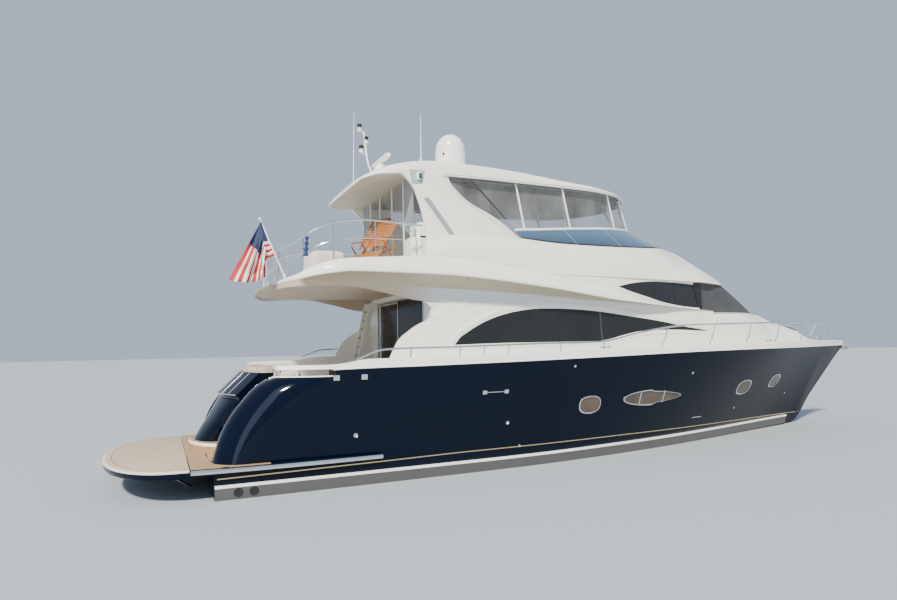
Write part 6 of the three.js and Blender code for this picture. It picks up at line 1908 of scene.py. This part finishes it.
# The vinyl's colour follows the crease noise: painted shade in the folds and painted highlights on their
# ridges.
rolled.set(Base_Color=rolled.blend(crease, (0.42, 0.42, 0.44), (0.86, 0.85, 0.83)))
rolled.bump(crease, 0.01, 0.6)
fit(rolls.object("rolled_curtains", rolled.material), "clear_panel", sharp=80)


# Deck chairs: two folding teak steamer chairs, their seats and backs of thin slats screwed across side
# rails, standing with their crossed legs half folded.
chair_teak = teak("varnished_teak", (0.30, 0.095, 0.022), (0.52, 0.20, 0.055), 0.9)
chair_frames = Skin()


def spar(skin, start, end, wide, thick, y):
    """A flat wooden bar between two (x, z) points, its face upright."""
    (x0, z0), (x1, z1) = start, end
    length = math.hypot(x1 - x0, z1 - z0)
    nx, nz = -(z1 - z0) / length * wide / 2, (x1 - x0) / length * wide / 2
    ring = lambda yy, k: [(x0 + nx * k, yy, z0 + nz * k), (x1 + nx * k, yy, z1 + nz * k),
                          (x1 - nx * k, yy, z1 - nz * k), (x0 - nx * k, yy, z0 - nz * k)]
    skin.solid([ring(y - thick / 2, 0.86), ring(y - thick / 2 + 0.004, 1), ring(y + thick / 2 - 0.004, 1),
                ring(y + thick / 2, 0.86)])


def slats(name, turn, start, end, count, y, width, board=0.046, thick=0.012):
    (x0, z0), (x1, z1) = start, end
    length = math.hypot(x1 - x0, z1 - z0)
    step = length / count
    piece = board_row(name, count, (step / 2, 0, 0), (step, 0, 0), (min(board, step * 0.66), width, thick),
                      chair_teak, bevel=0.0025)
    lean = Matrix.Rotation(-math.atan2(z1 - z0, x1 - x0), 4, "Y")
    piece.data.transform(turn @ Matrix.Translation((x0, y, z0)) @ lean)
    return fit(piece, "teak")


CHAIRS = [
    # y, back's foot and head, seat's aft and fore ends, leg rest's outer end
    (-1.34, (-5.78, 4.98), (-5.20, 5.60), (-5.86, 4.86), (-5.34, 4.96), (-6.18, 4.62)),
    (-0.55, (-5.66, 5.06), (-5.02, 5.86), (-5.80, 4.90), (-5.28, 5.02), (-6.10, 4.66)),
]
FLOOR_AFT, CHAIR_TURN = 4.413, 40
HEAD_BAR = ((-0.012, -0.01), (0.012, 0.01), (0.03, -0.02), (0.006, -0.04))
for i, (y, back0, back1, seat0, seat1, rest) in enumerate(CHAIRS, 1):
    half = 0.24
    hinge = Matrix.Translation((-5.62, y, 0))
    turn = hinge @ Matrix.Rotation(math.radians(CHAIR_TURN), 4, "Z") @ hinge.inverted()
    unturned = len(chair_frames.points)
    for side in (-1, 1):
        yy = y + side * half
        spar(chair_frames, back0, back1, 0.036, 0.02, yy)
        spar(chair_frames, seat0, seat1, 0.036, 0.02, yy - side * 0.024)
        spar(chair_frames, seat0, rest, 0.032, 0.02, yy - side * 0.024)
        spar(chair_frames, (-6.06, FLOOR_AFT), (-5.30, seat1[1] + 0.16), 0.034, 0.02, yy + side * 0.024)
        spar(chair_frames, (-5.16, FLOOR_AFT), (-5.92, seat0[1] + 0.20), 0.034, 0.02, yy + side * 0.046)
        spar(chair_frames, (-5.98, seat0[1] + 0.26), (-5.36, seat1[1] + 0.26), 0.022, 0.055,
             yy + side * 0.024)
    slats("chair_%d_back" % i, turn, back0, back1, 13, y, 2 * half - 0.02)
    slats("chair_%d_seat" % i, turn, seat0, seat1, 8, y, 2 * half - 0.07)
    slats("chair_%d_rest" % i, turn, rest, seat0, 6, y, 2 * half - 0.07)
    chair_frames.solid([[(back1[0] + dx, y + s * (half + 0.01), back1[1] + dz) for dx, dz in HEAD_BAR]
                        for s in (-1, 1)])
    for k in range(unturned, len(chair_frames.points)):
        chair_frames.points[k] = tuple(turn @ Vector(chair_frames.points[k]))
fit(chair_frames.object("chair_frames", chair_teak), "teak", "deck_chairs")


# Rails: polished stainless tube. The flybridge's after rail has a middle bar; the deck rail is a single bar
# whose stanchions stand in round feet with an S-bend, and it rises to the pulpit at the bow.
FLY_RAIL = [(-4.95, -2.18, 5.36), (-6.0, -2.38, 5.36), (-6.6, -2.42, 5.33), (-6.95, -2.41, 5.26),
            (-7.22, -2.34, 5.155), (-7.47, -2.16, 5.00), (-7.67, -1.88, 4.89), (-7.80, -1.2, 4.85)]
fly_line = curve_through(whole_line(FLY_RAIL))
rail = Skin()
tube(rail, [fly_line(t) for t in evenly(0, 1, 80)], 0.019, 10)


def fly_foot(p):
    x = min(-4.95, max(AFT_END + 0.05, p.x))
    return Vector((p.x, math.copysign(min(abs(p.y), crest_half(x) - 0.045), p.y), crest_z(x) - 0.01))


MIDDLE_BAR = 0.52  # of the rail's height
middle = []
for t in evenly(0, 1, 80):
    top = fly_line(t)
    foot = fly_foot(top)
    middle.append(foot.lerp(top, MIDDLE_BAR))
tube(rail, middle[3:-3], 0.011, 8)
for t in (0.115, 0.205, 0.275, 0.335, 0.385, 0.44, 0.56, 0.615, 0.665, 0.725, 0.795, 0.885):
    top = fly_line(t)
    foot = fly_foot(top)
    tube(rail, [foot, foot.lerp(top, 0.5), top], 0.0145, 8)
    turned(rail, [(0.034, foot.z), (0.034, foot.z + 0.016), (0.018, foot.z + 0.024)], (foot.x, foot.y),
           count=16)
fit(rail.object("flybridge_rail", steel), "steel", "fly_rail")
rolled_burgee = Skin()
rings = []
for k in range(17):
    z = 4.60 + 0.38 * k / 16
    r = 0.028 + 0.012 * math.sin(k * 1.3 + 0.5) + 0.014 * (1 - k / 16)
    rings.append([(-7.45 + 0.03 * k / 16 + r * math.cos(a), -2.20 + r * math.sin(a) * 0.8, z)
                  for a in turns(14)])
rolled_burgee.solid(rings)
blue_cloth = mottled("blue_cloth", (0.012, 0.03, 0.12), 0.8, 12, 3, (0.008, 0.02, 0.09), (0.02, 0.05, 0.17))
fit(rolled_burgee.object("furled_flag", blue_cloth), "flag_cloth", sharp=80)

RAIL = [(-6.56, 2.53), (-6.45, 2.575), (-6.3, 2.64), (-6.0, 2.72), (-4.4, 2.745), (-2.5, 2.78), (-0.6, 2.81),
        (0.4, 2.99), (1.5, 3.15), (3.5, 3.225), (5.2, 3.255), (7.0, 3.28), (9.0, 3.29), (10.5, 3.30),
        (11.6, 3.31), (12.12, 3.32)]
rail_z, = columns(RAIL)
PULPIT_X, PULPIT_REACH = 11.6, 0.52


def rail_y(x):
    """The deck rail's half breadth, which rounds in over the pulpit."""
    beyond = max(0.0, x - PULPIT_X) / PULPIT_REACH
    return max(0.0, beam(min(x, PULPIT_X)) - 0.06) * math.sqrt(max(0.0, 1 - beyond ** 2))


def s_post(skin, foot, head, radius=0.0135):
    """A stanchion: upright for a hand's breadth, an S-bend towards its head, then straight."""
    foot, head = Vector(foot), Vector(head)
    reach = head - foot
    path = [foot, foot + Vector((0, 0, reach.z * 0.10))]
    for k in range(1, 9):
        t = k / 8
        ease = t * t * (3 - 2 * t)
        path.append(foot + Vector((reach.x * 0.42 * ease, reach.y * 0.42 * ease,
                                   reach.z * (0.10 + 0.22 * t))))
    path += [path[-1].lerp(head, k / 5) for k in range(1, 6)]
    tube(skin, path, radius, 8)
    turned(skin, [(0.032, foot.z - 0.004), (0.032, foot.z + 0.008), (0.018, foot.z + 0.014)],
           (foot.x, foot.y), count=16)


STANCHIONS = [-5.45, -4.34, -3.77, -3.16, -1.80, -0.59, 1.20, 2.86, 4.33, 5.70, 7.29, 7.85, 9.02, 9.92, 10.79]
for side, name in ((-1, "stb"), (1, "port")):
    skin = Skin()
    pulpit_x = [PULPIT_X + PULPIT_REACH * math.sin(math.pi / 2 * k / 10) for k in range(11)]
    line = [(x, side * rail_y(x), rail_z(x)) for x in sorted({*steps_from(-6.56, PULPIT_X, 0.15), *pulpit_x})]
    line = [(x + 0.35 * max(0, x - PULPIT_X), y, z) for x, y, z in line]
    tube(skin, line, 0.021, 10)
    for x in STANCHIONS:
        lean = 0.24 + 0.10 * smoothstep(x, 3.0, 9.0) if x > 0 else 0.03
        s_post(skin, (x, side * (rail_y(x) + 0.015), rail_top(x)),
               (x + lean, side * rail_y(x + lean), rail_z(x + lean)))
    pulpit = ["bow_rail"] if side < 0 else []
    fit(skin.object("deck_railing_" + name, steel), "steel", "deck_rail_" + name, *pulpit)


# Foredeck and mooring gear: an anchor in its stem roller, a drum windlass, and pairs of polished cleats.
gear = Skin()
for x in (8.88, -0.4, 5.6):
    for side in (-1, 1):
        y = side * (rail_y(x) - 0.14)
        z = rail_top(x) - TOE_RAIL + 0.004
        for dx in (-0.06, 0.06):
            turned(gear, [(0.028, z), (0.018, z + 0.02), (0.016, z + 0.05)], (x + dx, y), count=14)
        tube(gear, [(x - 0.17, y, z + 0.070), (x - 0.13, y, z + 0.062), (x, y, z + 0.058),
                    (x + 0.13, y, z + 0.062), (x + 0.17, y, z + 0.070)], 0.0165, 10)
fit(gear.object("cleats", steel), "steel")
z0 = rail_top(10.7) - TOE_RAIL + 0.006
drum = Skin()
turned(drum, [(0.12, z0), (0.12, z0 + 0.03), (0.085, z0 + 0.045), (0.06, z0 + 0.09), (0.062, z0 + 0.12),
              (0.095, z0 + 0.15), (0.095, z0 + 0.165), (0.03, z0 + 0.19)], (10.7, 0), count=32)
drum.solid([[(10.70 + u, v, z) for u, v in oval(0.25 - k, 0.13 - k, square=5, count=32)]
            for z, k in ((z0, 0.0), (z0 + 0.03, 0.0), (z0 + 0.038, 0.01))])
fit(drum.object("windlass_drum", steel), "steel")
anchor = Skin()
roller_foot = rail_top(11.3) + 0.002
anchor.solid([[(x, y, roller_foot) for y in (-0.03, 0.03)]
              + [(x, 0.022, roller_foot + 0.06), (x, -0.022, roller_foot + 0.06)] for x in (11.35, 12.05)])
shank = [(11.98, 0, 2.75), (12.10, 0, 2.70), (12.14, 0, 2.60), (12.10, 0, 2.47)]
tube(anchor, shank, 0.03, 10)
FLUKE = (((12.19, 0.005, 2.50), (12.17, 0.16, 2.46), (12.06, 0.15, 2.405), (12.02, 0.005, 2.41)),
         ((12.175, 0.005, 2.525), (12.155, 0.15, 2.48), (12.05, 0.14, 2.425), (12.0, 0.005, 2.435)))
for side in (-1, 1):
    anchor.solid([[(x, side * y, z) for x, y, z in ring] for ring in FLUKE])
    anchor.solid([[(x, side * y, roller_foot + z)
                   for x, z in ((11.5, 0), (12.13, 0.005), (12.17, 0.09), (11.5, 0.05))]
                  for y in (0.045, 0.055)])
fit(anchor.object("stem_anchor", steel), "steel", "anchor")


# Ensign: a printed woven flag on a white staff with a ball at its head. It hangs in folds from its hoist,
# in plain red and white stripes with a blue corner.
STAFF_FOOT, STAFF_HEAD, STAFF_Y = (-7.77, 4.185), (-8.24, 5.345), -1.72
staff = Skin()
foot, head = Vector((STAFF_FOOT[0], STAFF_Y, STAFF_FOOT[1])), Vector((STAFF_HEAD[0], STAFF_Y, STAFF_HEAD[1]))
tube(staff, [foot.lerp(head, share) for share in evenly(0, 1, 6)], 0.015, 12)
rings = []
for k in range(9):
    a = math.pi * k / 8
    c = head + (head - foot).normalized() * (-math.cos(a) * 0.03 + 0.02)
    r = max(0.004, 0.03 * math.sin(a))
    rings.append([(c.x + r * math.cos(b), c.y + r * math.sin(b), c.z) for b in turns(16)])
staff.solid(rings)
tube(staff, [foot - (head - foot).normalized() * 0.02, foot + (head - foot).normalized() * 0.09], 0.024, 14)
fit(staff.object("staff", trim_white), "gelcoat", "ensign_staff")
FLAG_HOIST, FLAG_FLY = 0.70, 1.30
flag = bpy.data.meshes.new("ensign_cloth")
COLUMNS, ROWS = 96, 52
points, faces = [], []
up_staff = (head - foot).normalized()
top_corner = head - up_staff * 0.07 + Vector((-0.019, 0, 0))
off_hoist = Vector((-0.87, 0, -0.49))
for i in range(COLUMNS + 1):
    u = i / COLUMNS
    for j in range(ROWS + 1):
        v = j / ROWS
        level = 0.03 + 0.17 * v  # run out from the hoist before the cloth falls
        run = u * FLAG_FLY
        falling = Vector((-0.43 * (1 - v) ** 1.2 - 0.03, 0, -0.86 - 0.14 * v)).normalized()
        drop = max(0.0, run - level) * (1.0 - 0.70 * v ** 1.2)
        bend = 0.035 * math.exp(-((run - level) / 0.05) ** 2)
        point = top_corner - up_staff * (v * FLAG_HOIST * 0.97) + off_hoist * min(run, level) + falling * drop
        loose = smoothstep(u, 0.02, 0.30)
        fold = 0.075 * math.sin(13 * v + 1.6 * u + 0.4) * loose * (0.45 + 0.55 * v)
        crease = 0.020 * math.sin(31 * v - 5 * u) * loose + 0.018 * math.sin(17 * u + 3 * v) * loose
        point += Vector((0.35 * bend + 0.012 * math.sin(26 * v) * loose, fold + crease - bend, bend))
        points.append(point)
for i in range(COLUMNS):
    for j in range(ROWS):
        a = i * (ROWS + 1) + j
        faces.append((a, a + 1, a + ROWS + 2, a + ROWS + 1))
flag.from_pydata(points, [], faces)
layer = flag.uv_layers.new(name="cloth")
for polygon in flag.polygons:
    for corner in polygon.loop_indices:
        index = flag.loops[corner].vertex_index
        layer.data[corner].uv = ((index // (ROWS + 1)) / COLUMNS, (index % (ROWS + 1)) / ROWS)
ensign = bpy.data.objects.new("ensign_cloth", flag)
bpy.context.scene.collection.objects.link(ensign)
bunting = Finish("bunting", (0.7, 0.1, 0.1), 0.8)
spread = bunting.node("ShaderNodeUVMap", {"uv_map": "cloth"})
parts = bunting.tree.nodes.new("ShaderNodeSeparateXYZ")
bunting.tree.links.new(spread.socket, parts.inputs[0])
u, v = Value(bunting.tree, parts.outputs[0]), Value(bunting.tree, parts.outputs[1])
stripe = bunting.function("MODULO", bunting.function("FLOOR", v * 13), 2)
corner = bunting.function("LESS_THAN", u, 0.36) * bunting.function("LESS_THAN", v, 7 / 13)
weave = bunting.function("SINE", u * 900) * bunting.function("SINE", v * 600)
bleach = bunting.noise(3, 3)
red = bunting.blend(bleach, (0.42, 0.016, 0.024), (0.56, 0.03, 0.035))
pale = bunting.blend(bleach, (0.80, 0.78, 0.74), (0.90, 0.88, 0.85))
field_blue = bunting.blend(bleach, (0.020, 0.032, 0.085), (0.045, 0.062, 0.13))
bunting.set(Base_Color=bunting.blend(corner, bunting.blend(stripe, red, pale), field_blue))
bunting.bump(weave * 0.2, 0.0015, 0.4)
flag.materials.append(bunting.material)
thicken = ensign.modifiers.new("cloth", "SOLIDIFY")
thicken.thickness = 0.0016
settled(ensign)
fit(ensign, "flag_cloth", "ensign", sharp=80)


# Underwater gear and engines: bronze propellers and shafts in their brackets, spade rudders, and the
# engines in the hull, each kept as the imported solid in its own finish.
bronze = metal("bronze", (0.62, 0.42, 0.20), 0.32)
paint = mottled("engine_paint", (0.62, 0.63, 0.60), 0.4, 6, 4, (0.48, 0.49, 0.47), (0.66, 0.67, 0.64))
antifoul = mottled("antifoul", (0.014, 0.016, 0.025), 0.75, 5, 4, (0.010, 0.012, 0.02), (0.03, 0.032, 0.045))
KEPT = {"engine_stb": paint, "engine_port": paint, "shaft_stb": steel, "shaft_port": steel,
        "propeller_stb": bronze, "propeller_port": bronze, "rudder_stb": antifoul, "rudder_port": antifoul,
        "lift_arms": steel, "lift_brackets": steel,}
KEPT_SHARP = 35
for name, material in KEPT.items():
    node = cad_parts[name]
    node.data.materials.clear()
    node.data.materials.append(material)
    node.data.shade_smooth()
    node.data.set_sharp_from_angle(angle=math.radians(KEPT_SHARP))
